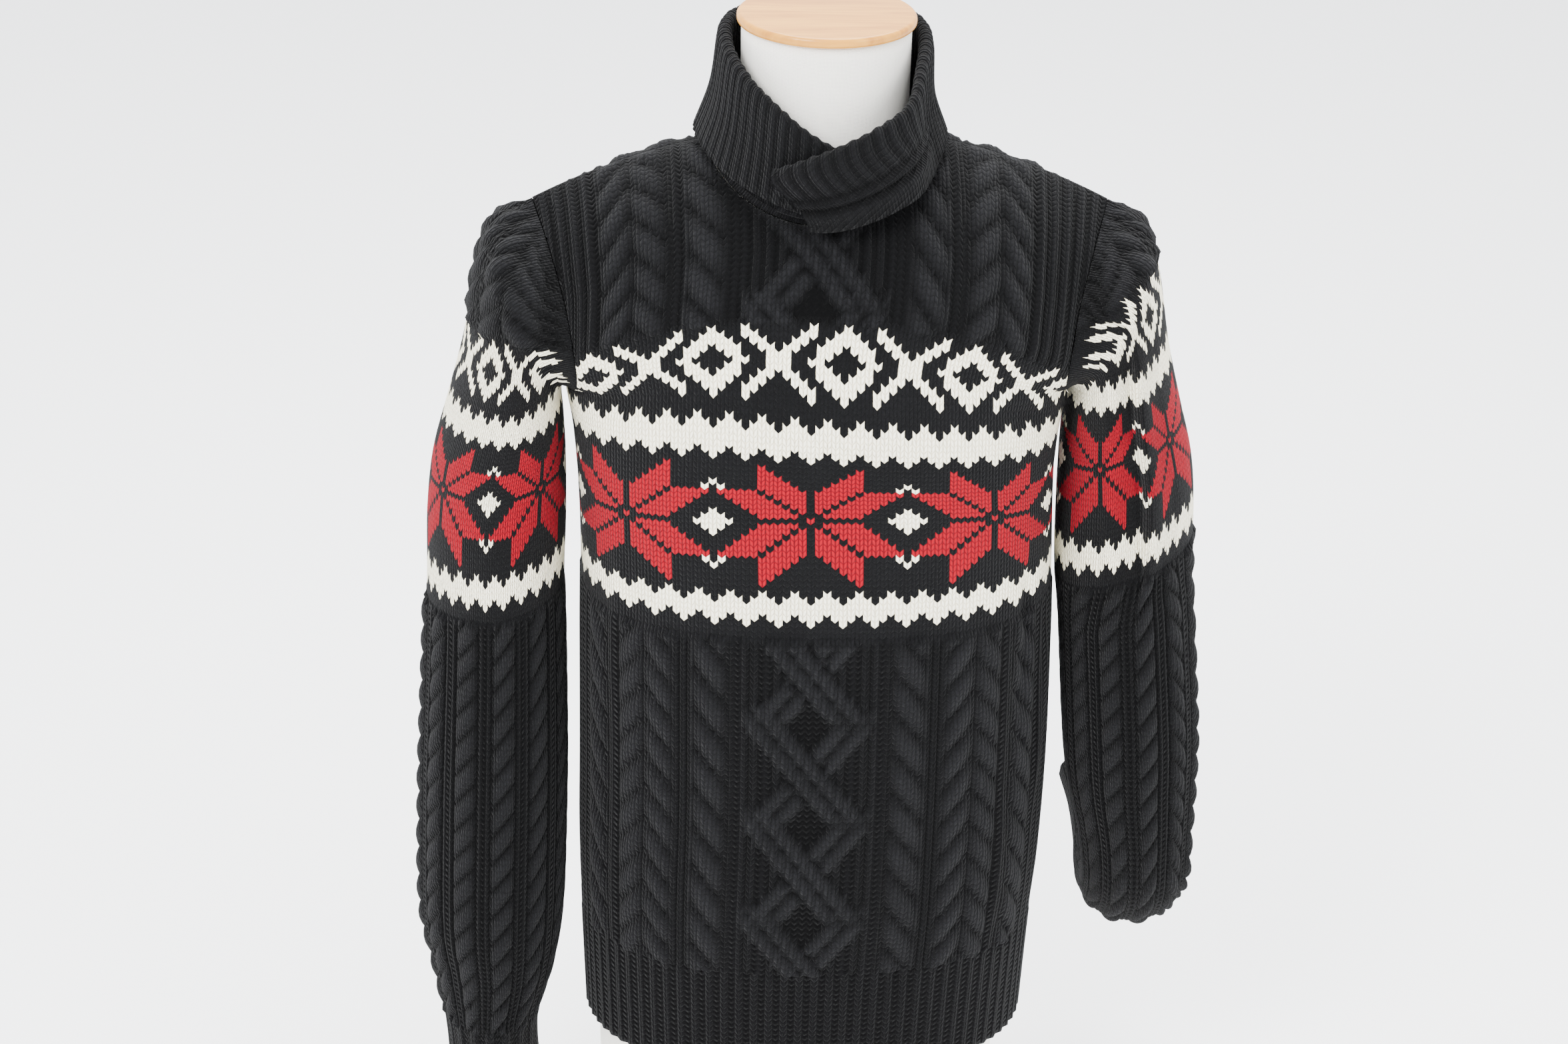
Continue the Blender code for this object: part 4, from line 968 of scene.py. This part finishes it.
# Height of row 0 on each sleeve, and how much it changes on the way round
LEFT_ZERO = (0.611, 0.018)
RIGHT_ZERO = (0.579, 0.012)
LEVEL_ROWS = (-18, -50)  # the rows are level all round below the second of these, and turn so from the first
SLEEVES = {
    "sleeve_left": dict(rings=UPPER_RINGS + TUCKED_RINGS, mirror=1, first_turn=8.0, rope_at=5, crosses=6),
    "sleeve_right": dict(rings=UPPER_RINGS + HANGING_RINGS, mirror=-1, first_turn=12.0, rope_at=0, crosses=2),
}


def armhole_start(around):
    """Where the sleeve begins at this place around it: 0 at the armpit, 0.25 at the front."""
    side = "front" if around <= 0.5 else "back"
    share = 1 - abs(1 - 2 * around)
    row = ARMPIT_ROW + (SHOULDER_ROW - ARMPIT_ROW) * share**ARMHOLE_SPREAD
    row = min(max(row, ARMPIT_ROW + 0.02), SHOULDER_ROW - 0.02)
    point, normal = body_spot(side, SIDE_STITCH, row)
    before = section_line(side, max(row - 0.5, ARMPIT_ROW))[1][-1]
    after = section_line(side, min(row + 0.5, SHOULDER_ROW))[1][-1]
    upwards = (after - before) * np.array((1, -1 if side == "front" else 1, 1))
    away = np.cross(upwards, normal)
    if side == "back":
        away = -away
    return point + ARMHOLE_GAP * away / np.linalg.norm(away)


def sleeve_surface(rings):
    """Points [station, place around] of a sleeve's cloth, from the armhole to the cuff."""
    around = np.arange(DENSE) / DENSE
    lines = [np.array([armhole_start(g) for g in around])]
    a = 2 * math.pi * around[:, None]
    for x, y, z, half_width, half_depth, tilt, pitch in rings:
        tilt, pitch = math.radians(tilt), math.radians(pitch)
        out = half_width * np.array((math.cos(tilt), 0, math.sin(tilt)))
        deep = half_depth * np.array((0, math.cos(pitch), math.sin(pitch)))
        lines.append(np.array((x, y, z)) - np.cos(a) * out - np.sin(a) * deep)
    count = len(rings)
    stations = np.linspace(0, count, count * STEPS_PER_RING + 1)
    control = np.stack(lines).reshape(count + 1, -1)
    return curve(np.arange(count + 1), control, stations).reshape(len(stations), DENSE, 3)


def sleeve_rows(surface, mirror):
    """The row number at each [station, place around] of a sleeve."""
    steps = np.linalg.norm(np.diff(surface, axis=0), axis=2)
    lengths = np.concatenate([np.zeros((1, DENSE)), np.cumsum(steps, axis=0)])
    turn = np.radians(np.arange(DENSE) - 90.0)
    base, change = LEFT_ZERO if mirror > 0 else RIGHT_ZERO
    zero_z = base + change * (np.sin(turn) if mirror > 0 else np.maximum(0, -np.sin(turn)))
    upper = slice(0, (len(UPPER_RINGS) + 1) * STEPS_PER_RING)
    zero = np.array([np.interp(-zero_z[k], -surface[upper, k, 2], lengths[upper, k]) for k in range(DENSE)])
    rows, distances = zip(*DISTANCES)
    own = np.interp(zero - lengths, distances, rows)
    level = np.interp(zero.mean() - lengths.mean(axis=1), distances, rows)[:, None]
    share = smooth(own, *LEVEL_ROWS)
    return own * (1 - share) + level * share


# %% Relief of a sleeve
CUFF_ROWS = 15
CUFF_RIBS = 18
SLEEVE_ROPE_ROWS = 5
ROPE_REPEAT = 8
ROPE_HALF_STITCHES = 2.5
CAP_AXIS = 0.190  # from the body's middle to the upright line that the cap's columns run up to
CAP_CENTRE = 62.0  # degrees from straight out towards the front
CAP_STITCH_ANGLE = 4.7
CAP_CHEVRON_HALF = 4.5
CROSS_FOOT_ROW = 21
RELIEF_ROWS = 3  # below the armhole, over which the relief fades, and the Xs and Os are left out


def sleeve_relief(stitch, row, turn, outward, foot, facts):
    """How far a sleeve's knit stands out.

    outward is the direction from CAP_AXIS, and foot the cuff's lowest row.
    """
    across = (stitch - facts["rope_at"] + ROPE_REPEAT / 2) % ROPE_REPEAT - ROPE_REPEAT / 2
    lean = np.where(turn > 25, -1.0, 1.0) if facts["mirror"] > 0 else -1.0
    thin = 0.7 * RIB_RISE * rib(np.abs(across) - 3.25, 1.5)
    cable = CABLE_RISE * rope(across, row, ROPE_HALF_STITCHES, SLEEVE_ROPE_ROWS, lean)
    height = np.where(np.abs(across) < ROPE_HALF_STITCHES, cable, thin)
    a = np.abs(outward - CAP_CENTRE) / CAP_STITCH_ANGLE
    beside = (a - CAP_CHEVRON_HALF) % 7
    strands = CABLE_RISE * rope(beside - 4.5, row, ROPE_HALF_STITCHES, SLEEVE_ROPE_ROWS, lean)
    cap = np.where(beside < 2, 0.8 * RIB_RISE * rib(beside - 0.5, 1.0), strands)
    middle = CABLE_RISE * chevrons(a, row, CAP_CHEVRON_HALF, SLEEVE_ROPE_ROWS)
    cap = np.where(a < CAP_CHEVRON_HALF, middle, cap)
    height = np.where(row > BAND_TOP_ROW, cap, height)
    height = np.where((row < BAND_BOTTOM_ROW) | (row > BAND_TOP_ROW), height, 0.0)
    cuff = HEM_RIB_RISE * rib(stitch * CUFF_RIBS / SLEEVE_STITCHES, 1.0)
    return np.where(row < foot + CUFF_ROWS, cuff, height)


# %% The two sleeves
def sleeve(name):
    facts = SLEEVES[name]
    surface = sleeve_surface(facts["rings"])
    row_of = sleeve_rows(surface, facts["mirror"])
    foot = row_of[-1].mean()
    top = row_of[0]
    whole = np.arange(math.ceil(foot + 0.3), math.ceil(top.max()) + 1).astype(float)
    rows = np.concatenate([[foot], whole])
    stitches = np.arange(-26, 2 * SLEEVE_STITCHES - 25) / 2
    s, r = np.meshgrid(stitches, rows)
    lift = stitch_lift(s)
    v = r + lift
    turn = facts["first_turn"] + (s - 13) * 360 / SLEEVE_STITCHES
    if facts["mirror"] > 0:
        bunched = np.interp(s, *zip(*BUNCHED))
        share = smooth(v, -30, -18)
        turn = bunched * share + turn * (1 - share)
    levels, level_of = np.unique(v, return_inverse=True)
    dense = np.empty((len(levels), DENSE, 3))
    for k in range(DENSE):
        for axis in range(3):
            dense[:, k, axis] = np.interp(-levels, -row_of[:, k], surface[:, k, axis])
    place = (turn / 360 + 0.25) % 1.0 * DENSE
    low = np.floor(place).astype(int) % DENSE
    part = (place - np.floor(place))[..., None]
    level_of = level_of.reshape(v.shape)
    points = dense[level_of, low] * (1 - part) + dense[level_of, (low + 1) % DENSE] * part
    limit = top[low] * (1 - part[..., 0]) + top[(low + 1) % DENSE] * part[..., 0]
    points[:, -1] = points[:, 0]
    points[..., 0] *= facts["mirror"]
    outward = np.degrees(np.arctan2(-points[..., 1], np.abs(points[..., 0]) - CAP_AXIS))
    full = sleeve_relief(s, v, turn, outward, foot, facts)
    gone = v >= limit
    v_cut = np.minimum(v, limit)
    first, faces, places = knit_grid(points, gone, facts["mirror"] < 0)
    base = points.reshape(-1, 3)[first]
    normals = vertex_normals(base, faces)
    row_at, turn_at = v_cut.ravel()[first], turn.ravel()[first]
    if facts["mirror"] > 0:
        height = base[:, 2]
        fold = curve(*zip(*FOLD), turn_at) * smooth(height, *FOLD_BOTTOM) * smooth(height, *FOLD_TOP)
        base = base + normals * fold[:, None]
        normals = vertex_normals(base, faces)
    from_inner = np.abs((turn_at + 90 + 180) % 360 - 180) / 360  # of the way round, from beside the body
    to_armhole = limit.ravel()[first] - row_at
    fade = np.clip(0.15 + 4.4 * from_inner, 0, 1) * np.clip(to_armhole / RELIEF_ROWS, 0, 1)
    relief = full.ravel()[first]
    outer = base + normals * (relief * fade)[:, None]
    inner = base - normals * WALL
    lines, columns = face_corners(places)
    line = lines[:, 0]
    in_cuff = rows[line] < foot + CUFF_ROWS
    across = s[lines, columns] * np.where(in_cuff, 2 * CUFF_RIBS / SLEEVE_STITCHES, 1.0)[:, None]
    corners = np.stack([across, (v_cut - lift)[lines, columns]], axis=2)
    if facts["mirror"] < 0:
        corners = corners[:, ::-1]
    stitch = np.round(stitches[columns[:, :2]].mean(axis=1)).astype(int)
    row = np.round(rows[line]).astype(int)
    masks = yarn_masks(stitch, row, full[lines, columns].mean(axis=1), facts["crosses"])
    masks[(row > CROSS_FOOT_ROW) & (row > limit[line, columns[:, 0]] - RELIEF_ROWS), 0] = 0.0
    rises = light_shares(relief, row_at)
    return wall_object(f"{name}_knit", outer, inner, faces, corners, masks, rises, wool)


left_knit = sleeve("sleeve_left")
right_knit = sleeve("sleeve_right")

# %% [markdown]
# ## Collar
#
# One long strip of rib, picked up round the neck, folded outwards, with its two ends crossed at the front. It
# is drawn as a profile from the seam over the fold to the free edge, which turns once round the neck and a
# little further.

# %% The collar's profile at each turn from the centre front, in degrees
COLLAR = (
    ("turn", "fold_r", "fold_z", "edge_r", "edge_z", "over", "waist"),
    (32, 0.0800, 0.8380, 0.0880, 0.812, 0.0, 0.0),
    (0, 0.0795, 0.8520, 0.0885, 0.806, 0.0, 0.0),
    (-40, 0.0750, 0.8840, 0.0895, 0.822, 0.0, 0.002),
    (-90, 0.0708, 0.9110, 0.0900, 0.842, 0.0, 0.004),
    (-140, 0.0710, 0.9130, 0.0860, 0.822, 0.0, 0.002),
    (-180, 0.0705, 0.9130, 0.0820, 0.801, 0.0, 0.0),
    (-220, 0.0710, 0.9130, 0.0855, 0.822, 0.0, 0.002),
    (-270, 0.0692, 0.9110, 0.0850, 0.842, 0.0, 0.005),
    (-300, 0.0715, 0.8980, 0.0865, 0.834, 0.2, 0.004),
    (-326, 0.0765, 0.8770, 0.0885, 0.818, 1.0, 0.002),
    (-360, 0.0790, 0.8540, 0.0885, 0.802, 1.0, 0.0),
    (-386, 0.0800, 0.8360, 0.0870, 0.806, 1.0, 0.0),
)
COLLAR_RIBS = 74
COLUMNS_PER_RIB = 6
FOLD_RADIUS = 0.0027
OVER_SHIFT = 0.0125  # how far the over end stands out, to pass the under end
FOOT_TURNS = (-322, -340)  # turns between which the over end's foot leaves the neckline
COLLAR_GAP = 0.0010
COLLAR_FOOT = 0.006
COLLAR_RIB_RISE = 0.0015
PROFILE_STEPS = 34
RIB_SLANT = 17.0  # degrees that the ribs of the over end drift, from the fold to the free edge
SLANT_TURNS = (-285, -340)
# Long folds on the over end: the share of the fall where each lies, its half width and its height
ROLLS = ((0.50, 0.07, -0.0035), (0.64, 0.10, 0.0028), (0.77, 0.06, -0.0022), (0.89, 0.09, 0.0024))
ROLL_TURNS = (-300, -335)


def neckline(turn):
    """(outer point, inner point, direction up) of the body's neckline at this turn."""
    a = math.radians(turn)
    side = "front" if math.cos(a) >= 0 else "back"
    stitch = NECK_STITCH * math.sin(a)
    row = min(float(neck_row(side, stitch)), SHOULDER_ROW - 0.02)
    outer, normal = body_spot(side, stitch, row)
    inwards = np.array((-outer[0], -outer[1], 0.0))
    inwards /= np.linalg.norm(inwards)
    away = inwards - (inwards @ normal) * normal
    return outer, outer - WALL * normal, away / np.linalg.norm(away)


def collar_profile(turn):
    """(points, thickness directions, fall shares) of the collar at this turn, from its seam to its edge."""
    fold_r, fold_z, edge_r, edge_z, over, waist = read_line(COLLAR, turn)
    outer, inner, away = neckline(turn)
    a = math.radians(turn)
    out, up = np.array((math.sin(a), -math.cos(a), 0.0)), np.array((0.0, 0.0, 1.0))
    shift = OVER_SHIFT * min(max(over, 0.0), 1.0)
    through = (outer - inner) / np.linalg.norm(outer - inner)
    middle = (outer + inner) / 2 + OVER_SHIFT * smooth(turn, *FOOT_TURNS) * through
    foot = [middle + COLLAR_GAP * away, middle + COLLAR_FOOT * away]
    foot_r, foot_z = foot[1] @ out - shift, foot[1][2]

    def at(radius, height):
        return out * (radius + shift) + up * height

    stand = at(0.5 * foot_r + 0.5 * (fold_r - FOLD_RADIUS), 0.55 * foot_z + 0.45 * fold_z)
    angles = (0.0, math.pi / 2, math.pi)
    fold = [at(fold_r - FOLD_RADIUS * math.cos(t), fold_z + FOLD_RADIUS * math.sin(t)) for t in angles]
    low = at(0.5 * (fold_r + FOLD_RADIUS + edge_r) + 0.001 - waist, 0.45 * fold_z + 0.55 * edge_z)
    knots = np.array([*foot, stand, *fold, low, at(edge_r, edge_z)])
    lengths = np.concatenate([[0.0], np.cumsum(np.linalg.norm(np.diff(knots, axis=0), axis=1))])
    even = np.linspace(0, lengths[-1], PROFILE_STEPS - 6)
    places = np.sort(np.concatenate([even, np.linspace(lengths[3], lengths[5], 8)[1:-1]]))
    points = curve(lengths, knots, places)
    along = np.gradient(points, axis=0)
    tangent = np.stack([along @ out, along[:, 2]], axis=1)
    tangent /= np.linalg.norm(tangent, axis=1, keepdims=True)
    normals = -tangent[:, 1:] * out + tangent[:, :1] * up
    normals[0] = -through
    normals[1] = (normals[1] - through) / np.linalg.norm(normals[1] - through)
    return points, normals, smooth(places, lengths[4], lengths[-1])


# %% The collar's strip
def collar():
    first_turn, last_turn = COLLAR[1][0], COLLAR[-1][0]
    known = np.linspace(last_turn, first_turn, 2 * (first_turn - last_turn) + 1)
    profiles = [collar_profile(turn) for turn in known]
    points, normals, falls = (np.stack([p[k] for p in profiles]) for k in range(3))
    columns = COLLAR_RIBS * COLUMNS_PER_RIB + 1
    count = np.arange(columns)
    turns = np.linspace(first_turn, last_turn, columns)
    fall = falls.mean(axis=0)
    drift = RIB_SLANT * smooth(turns, *SLANT_TURNS)[:, None] * fall
    place = np.clip((turns[:, None] + drift - last_turn) * 2, 0, len(known) - 1.000001)
    low = np.floor(place).astype(int)
    part = (place - low)[..., None]
    step = np.arange(points.shape[1])[None, :]
    grid = points[low, step] * (1 - part) + points[low + 1, step] * part
    out = normals[low, step] * (1 - part) + normals[low + 1, step] * part
    out /= np.linalg.norm(out, axis=2, keepdims=True)
    wave = rib(count, COLUMNS_PER_RIB)[:, None, None]
    fade = np.clip(np.arange(grid.shape[1]) / 3, 0, 1)[None, :, None]
    over_end = smooth(turns, *ROLL_TURNS)[:, None, None]
    rolled = over_end * smooth(fall, 0.40, 0.52)[:, None]
    uneven = (0.8 + 0.2 * np.sin(0.31 * turns) * np.sin(0.11 * turns + 1))[:, None, None]
    wave = wave * uneven * (1 - 0.75 * rolled)
    roll = sum(height * bump(fall, centre, half) for centre, half, height in ROLLS)
    roll = over_end * roll[None, :, None]
    grid = grid + out * roll
    front = grid + out * (WALL / 2 + COLLAR_RIB_RISE * wave * fade)
    back = grid - out * (WALL / 2 + COLLAR_RIB_RISE * (1 - wave) * fade)
    lines = grid.shape[1]
    index = np.arange(columns * lines).reshape(columns, lines)
    faces = cell_corners(index).reshape(-1, 4)
    across = np.broadcast_to(2.0 * count[:, None] / COLUMNS_PER_RIB + 0.5, (columns, lines))
    steps = np.linalg.norm(np.diff(grid, axis=1), axis=2)
    rows = np.cumsum(np.concatenate([np.zeros((columns, 1)), steps], axis=1), axis=1) / ROW
    uv = np.stack([across, rows], axis=2).reshape(-1, 2)
    masks = np.zeros((len(faces), 3))
    shade = np.clip(0.15 + 0.55 * wave[..., 0] + 110 * roll[..., 0], 0, 1).reshape(-1)
    rises = (shade, 0.8 - 0.8 * shade)
    outer, inner = front.reshape(-1, 3), back.reshape(-1, 3)
    return wall_object("collar_knit", outer, inner, faces, uv[faces], masks, rises, wool)


collar_knit = collar()

# %% [markdown]
# ## Dress form
#
# The torso is padded and covered in pale linen, without limbs or a head. The neck ends in a turned and
# varnished cap.

# %% Sections of the form
FORM = (
    ("z", "half_width", "front", "back"),
    (0.000, 0.1480, 0.100, 0.100),
    (0.060, 0.1520, 0.102, 0.104),
    (0.120, 0.1535, 0.103, 0.105),
    (0.200, 0.1460, 0.098, 0.100),
    (0.270, 0.1290, 0.088, 0.086),
    (0.330, 0.1200, 0.084, 0.078),
    (0.390, 0.1240, 0.088, 0.079),
    (0.460, 0.1370, 0.099, 0.084),
    (0.540, 0.1480, 0.112, 0.091),
    (0.600, 0.1540, 0.116, 0.095),
    (0.660, 0.1600, 0.112, 0.095),
)
CHEST_Z, _, CHEST_FRONT, CHEST_BACK = FORM[-1]
SHOULDER_HEIGHTS = (
    *(0.700, 0.720, 0.740, 0.755, 0.770, 0.780, 0.790),
    *(0.797, 0.804, 0.809, 0.8135, 0.817, 0.8205),
)
FORM_SHOULDER_DEPTH = (0.052, 0.046)  # front and back, at the top; lower down it grows to the chest's
FORM_SHOULDER_HALF = 0.176
SHOULDER_CHEST_Z = 0.770
SEAT_GAP = 0.00095
NECK_HALF = 0.0597
NECK_DEPTH = 0.054
NECK_SHIFT = -0.004
FLARE = (
    ("z", "half_width"),
    (0.8245, 0.1030),
    (0.8275, 0.0880),
    (0.8320, 0.0745),
    (0.8410, 0.0635),
    (0.8540, NECK_HALF),
    (0.9195, NECK_HALF),
)
FORM_SIDES = 96
form_angles = 2 * math.pi * np.arange(FORM_SIDES) / FORM_SIDES


def neck_depth(x):
    return NECK_DEPTH * np.sqrt(np.maximum(1 - (x / NECK_HALF) ** 2, 0.0))


def torso_ring(z):
    half_width, front, back = read_line(FORM, z)
    c, s = np.cos(form_angles), np.sin(form_angles)
    power = 2 / ROUNDNESS
    x = np.sign(c) * half_width * np.abs(c) ** power
    y = np.sign(s) * np.where(s > 0, back, front) * np.abs(s) ** power
    return np.stack([x, y, np.full(FORM_SIDES, z)], axis=1)


def neck_shift(x):
    return NECK_SHIFT * neck_depth(x) / NECK_DEPTH


def shoulder_ring(z):
    """A ring whose top ridge lies just under the sweater's shoulder seam."""
    base = read(BODY, "mid_z", ARCH_ROW)
    fall = (SEAM_TOP_Z - EDGE[-1][1]) / EDGE[-1][2] ** 2
    top = SEAM_TOP_Z - WALL - SEAT_GAP
    reach = min(math.sqrt((top - z) / fall), FORM_SHOULDER_HALF)
    low = max(0.0, 1 - (z - CHEST_Z) / (SHOULDER_CHEST_Z - CHEST_Z))
    x = reach * np.cos(form_angles)
    lean = np.sqrt(np.maximum(1 - np.minimum((z - base) / (top - fall * x * x - base), 1.0) ** 2, 0.0))
    across = (1 - np.abs(x / (FORM_SHOULDER_HALF + 0.001)) ** ROUNDNESS) ** (1 / ROUNDNESS)
    behind = np.sin(form_angles) > 0
    chest = np.where(behind, CHEST_BACK, CHEST_FRONT)
    depth = np.where(behind, FORM_SHOULDER_DEPTH[1], FORM_SHOULDER_DEPTH[0])
    depth = depth + low * (chest - depth)
    y = ((depth * lean * across) ** 4 + neck_depth(x) ** 4) ** 0.25 * np.where(behind, 1, -1)
    return np.stack([x, y + neck_shift(x), np.full(FORM_SIDES, z)], axis=1)


def flare_ring(z):
    """A ring where the shoulders rise into the neck."""
    half_width = read(FLARE, "half_width", z)
    x, s = half_width * np.cos(form_angles), np.sin(form_angles)
    y = np.sign(np.round(s, 3)) * (neck_depth(x) + 0.04 * (half_width - NECK_HALF) * np.abs(s))
    return np.stack([x, y + neck_shift(x), np.full(FORM_SIDES, z)], axis=1)


# %% The padded torso
def form_torso():
    rings = [torso_ring(z) for z in np.linspace(0.0, CHEST_Z, 56)]
    rings += [shoulder_ring(z) for z in SHOULDER_HEIGHTS]
    rings += [flare_ring(z) for z in (*np.linspace(0.8245, 0.854, 14), *np.linspace(0.860, 0.9195, 7))]
    points = np.concatenate(rings)
    index = np.arange(len(points)).reshape(len(rings), FORM_SIDES)
    sides = cell_corners(np.hstack([index, index[:, :1]])).reshape(-1, 4).tolist()
    ends = [index[0, ::-1].tolist(), index[-1].tolist()]
    return new_piece("form_torso_linen", points, sides + ends, linen, flat=len(ends))


torso_linen = form_torso()

# %% The turned cap
CAP_RADIUS = 0.063
CAP_THICK = 0.0075
CAP_ROUND = 0.0030
CAP_BOTTOM = FLARE[-1][0] + SEAM_GAP
bpy.ops.object.select_all(action="DESELECT")
bpy.ops.mesh.primitive_cylinder_add(vertices=128, radius=CAP_RADIUS, depth=CAP_THICK, location=(0, 0, 0))
neck_cap = bpy.context.object
neck_cap.name = "form_neck_cap_turned"
rounding = neck_cap.modifiers.new("Rounded edges", "BEVEL")
rounding.width = CAP_ROUND
rounding.segments = 6
rounding.limit_method = "ANGLE"
bpy.ops.object.modifier_apply(modifier=rounding.name)
neck_cap.data.transform(Matrix.Translation((0, 0, CAP_BOTTOM + CAP_THICK / 2)))
bpy.ops.object.shade_smooth_by_angle(angle=math.radians(40))
neck_cap.data.materials.append(maple)
print("Cap:", len(neck_cap.data.polygons), "faces")

# %% [markdown]
# ## What each piece stands for
#
# Each new piece is attached to the root and the imported part it stands for is hidden. The table also gives
# each knitted piece's size before it was sewn and put on the form, and its flat area, which nothing below
# reads.

# %% Bodies, slots, flat sizes and flat areas
KNITTED = (
    (front_knit, "front", (0.52, 0.77), 0.345),
    (back_knit, "back", (0.50, 0.77), 0.335),
    (left_knit, "sleeve_left", (0.42, 0.66), 0.213),
    (right_knit, "sleeve_right", (0.42, 0.66), 0.213),
    (collar_knit, "collar", (0.74, 0.14), 0.099),
)
for piece, node, flat, area in KNITTED:
    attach(piece, "root")
    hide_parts(node)
for piece, node, slot in ((torso_linen, "form_torso", "linen"), (neck_cap, "form_neck_cap", "maple")):
    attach(piece, "root")
    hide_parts(node)
print("Declared", len(KNITTED), "knitted pieces and the form")

# %% [markdown]
# ## Floor, light and camera
#
# A pale floor, a bright even surround and three large soft lights, with the camera at the photo's angle.

# %% Floor and light
FLOOR_SIZE = 30
FLOOR_Z = -0.0005
WORLD_STRENGTH = 3.0
LOOK_AT = Vector((0, 0, 0.55))
bpy.ops.object.select_all(action="DESELECT")
bpy.ops.mesh.primitive_plane_add(size=FLOOR_SIZE, location=(0, 0, FLOOR_Z))
floor = bpy.context.object
floor.name = "pale_floor"
floor_material, _, floor_shader = new_material("Pale floor")
set_inputs(floor_shader, {"Base Color": (0.93, 0.93, 0.93, 1), "Roughness": 0.9})
floor.data.materials.append(floor_material)

world = bpy.data.worlds.new("Studio")
world.use_nodes = True
surround = world.node_tree.nodes["Background"]
set_inputs(surround, {"Color": (0.95, 0.97, 1.0, 1), "Strength": WORLD_STRENGTH})
bpy.context.scene.world = world

# Name, place, size and watts of each
LIGHTS = (
    ("key", (-1.6, -2.2, 2.6), 1.4, 200),
    ("fill", (2.2, -1.8, 1.7), 1.8, 60),
    ("top", (0.2, 0.8, 2.6), 1.6, 140),
)
for name, place, size, watts in LIGHTS:
    light = bpy.data.lights.new(name, "AREA")
    light.size = size
    light.energy = watts
    lamp = bpy.data.objects.new(name, light)
    lamp.location = place
    lamp.rotation_euler = (LOOK_AT - Vector(place)).to_track_quat("-Z", "Y").to_euler()
    bpy.context.scene.collection.objects.link(lamp)

# %% Camera
CAMERA_LENS = 86.97
CAMERA_DISTANCE = 2.537
CAMERA_HEIGHT = 1.72
CAMERA_TURN = math.radians(-4.6)
CAMERA_YAW = math.radians(-4.147)
CAMERA_PITCH = math.radians(90 - 25.04)
CAMERA_ROLL = math.radians(1.6)
lens = bpy.data.cameras.new("camera")
lens.lens = CAMERA_LENS
lens.sensor_width = 36
camera = bpy.data.objects.new("camera", lens)
camera.location = (
    CAMERA_DISTANCE * math.sin(CAMERA_TURN),
    -CAMERA_DISTANCE * math.cos(CAMERA_TURN),
    CAMERA_HEIGHT,
)
turned = Matrix.Rotation(CAMERA_YAW, 4, "Z") @ Matrix.Rotation(CAMERA_PITCH, 4, "X")
camera.rotation_euler = (turned @ Matrix.Rotation(CAMERA_ROLL, 4, "Z")).to_euler()
bpy.context.scene.collection.objects.link(camera)
bpy.context.scene.camera = camera
print("Camera at", [round(c, 3) for c in camera.location])
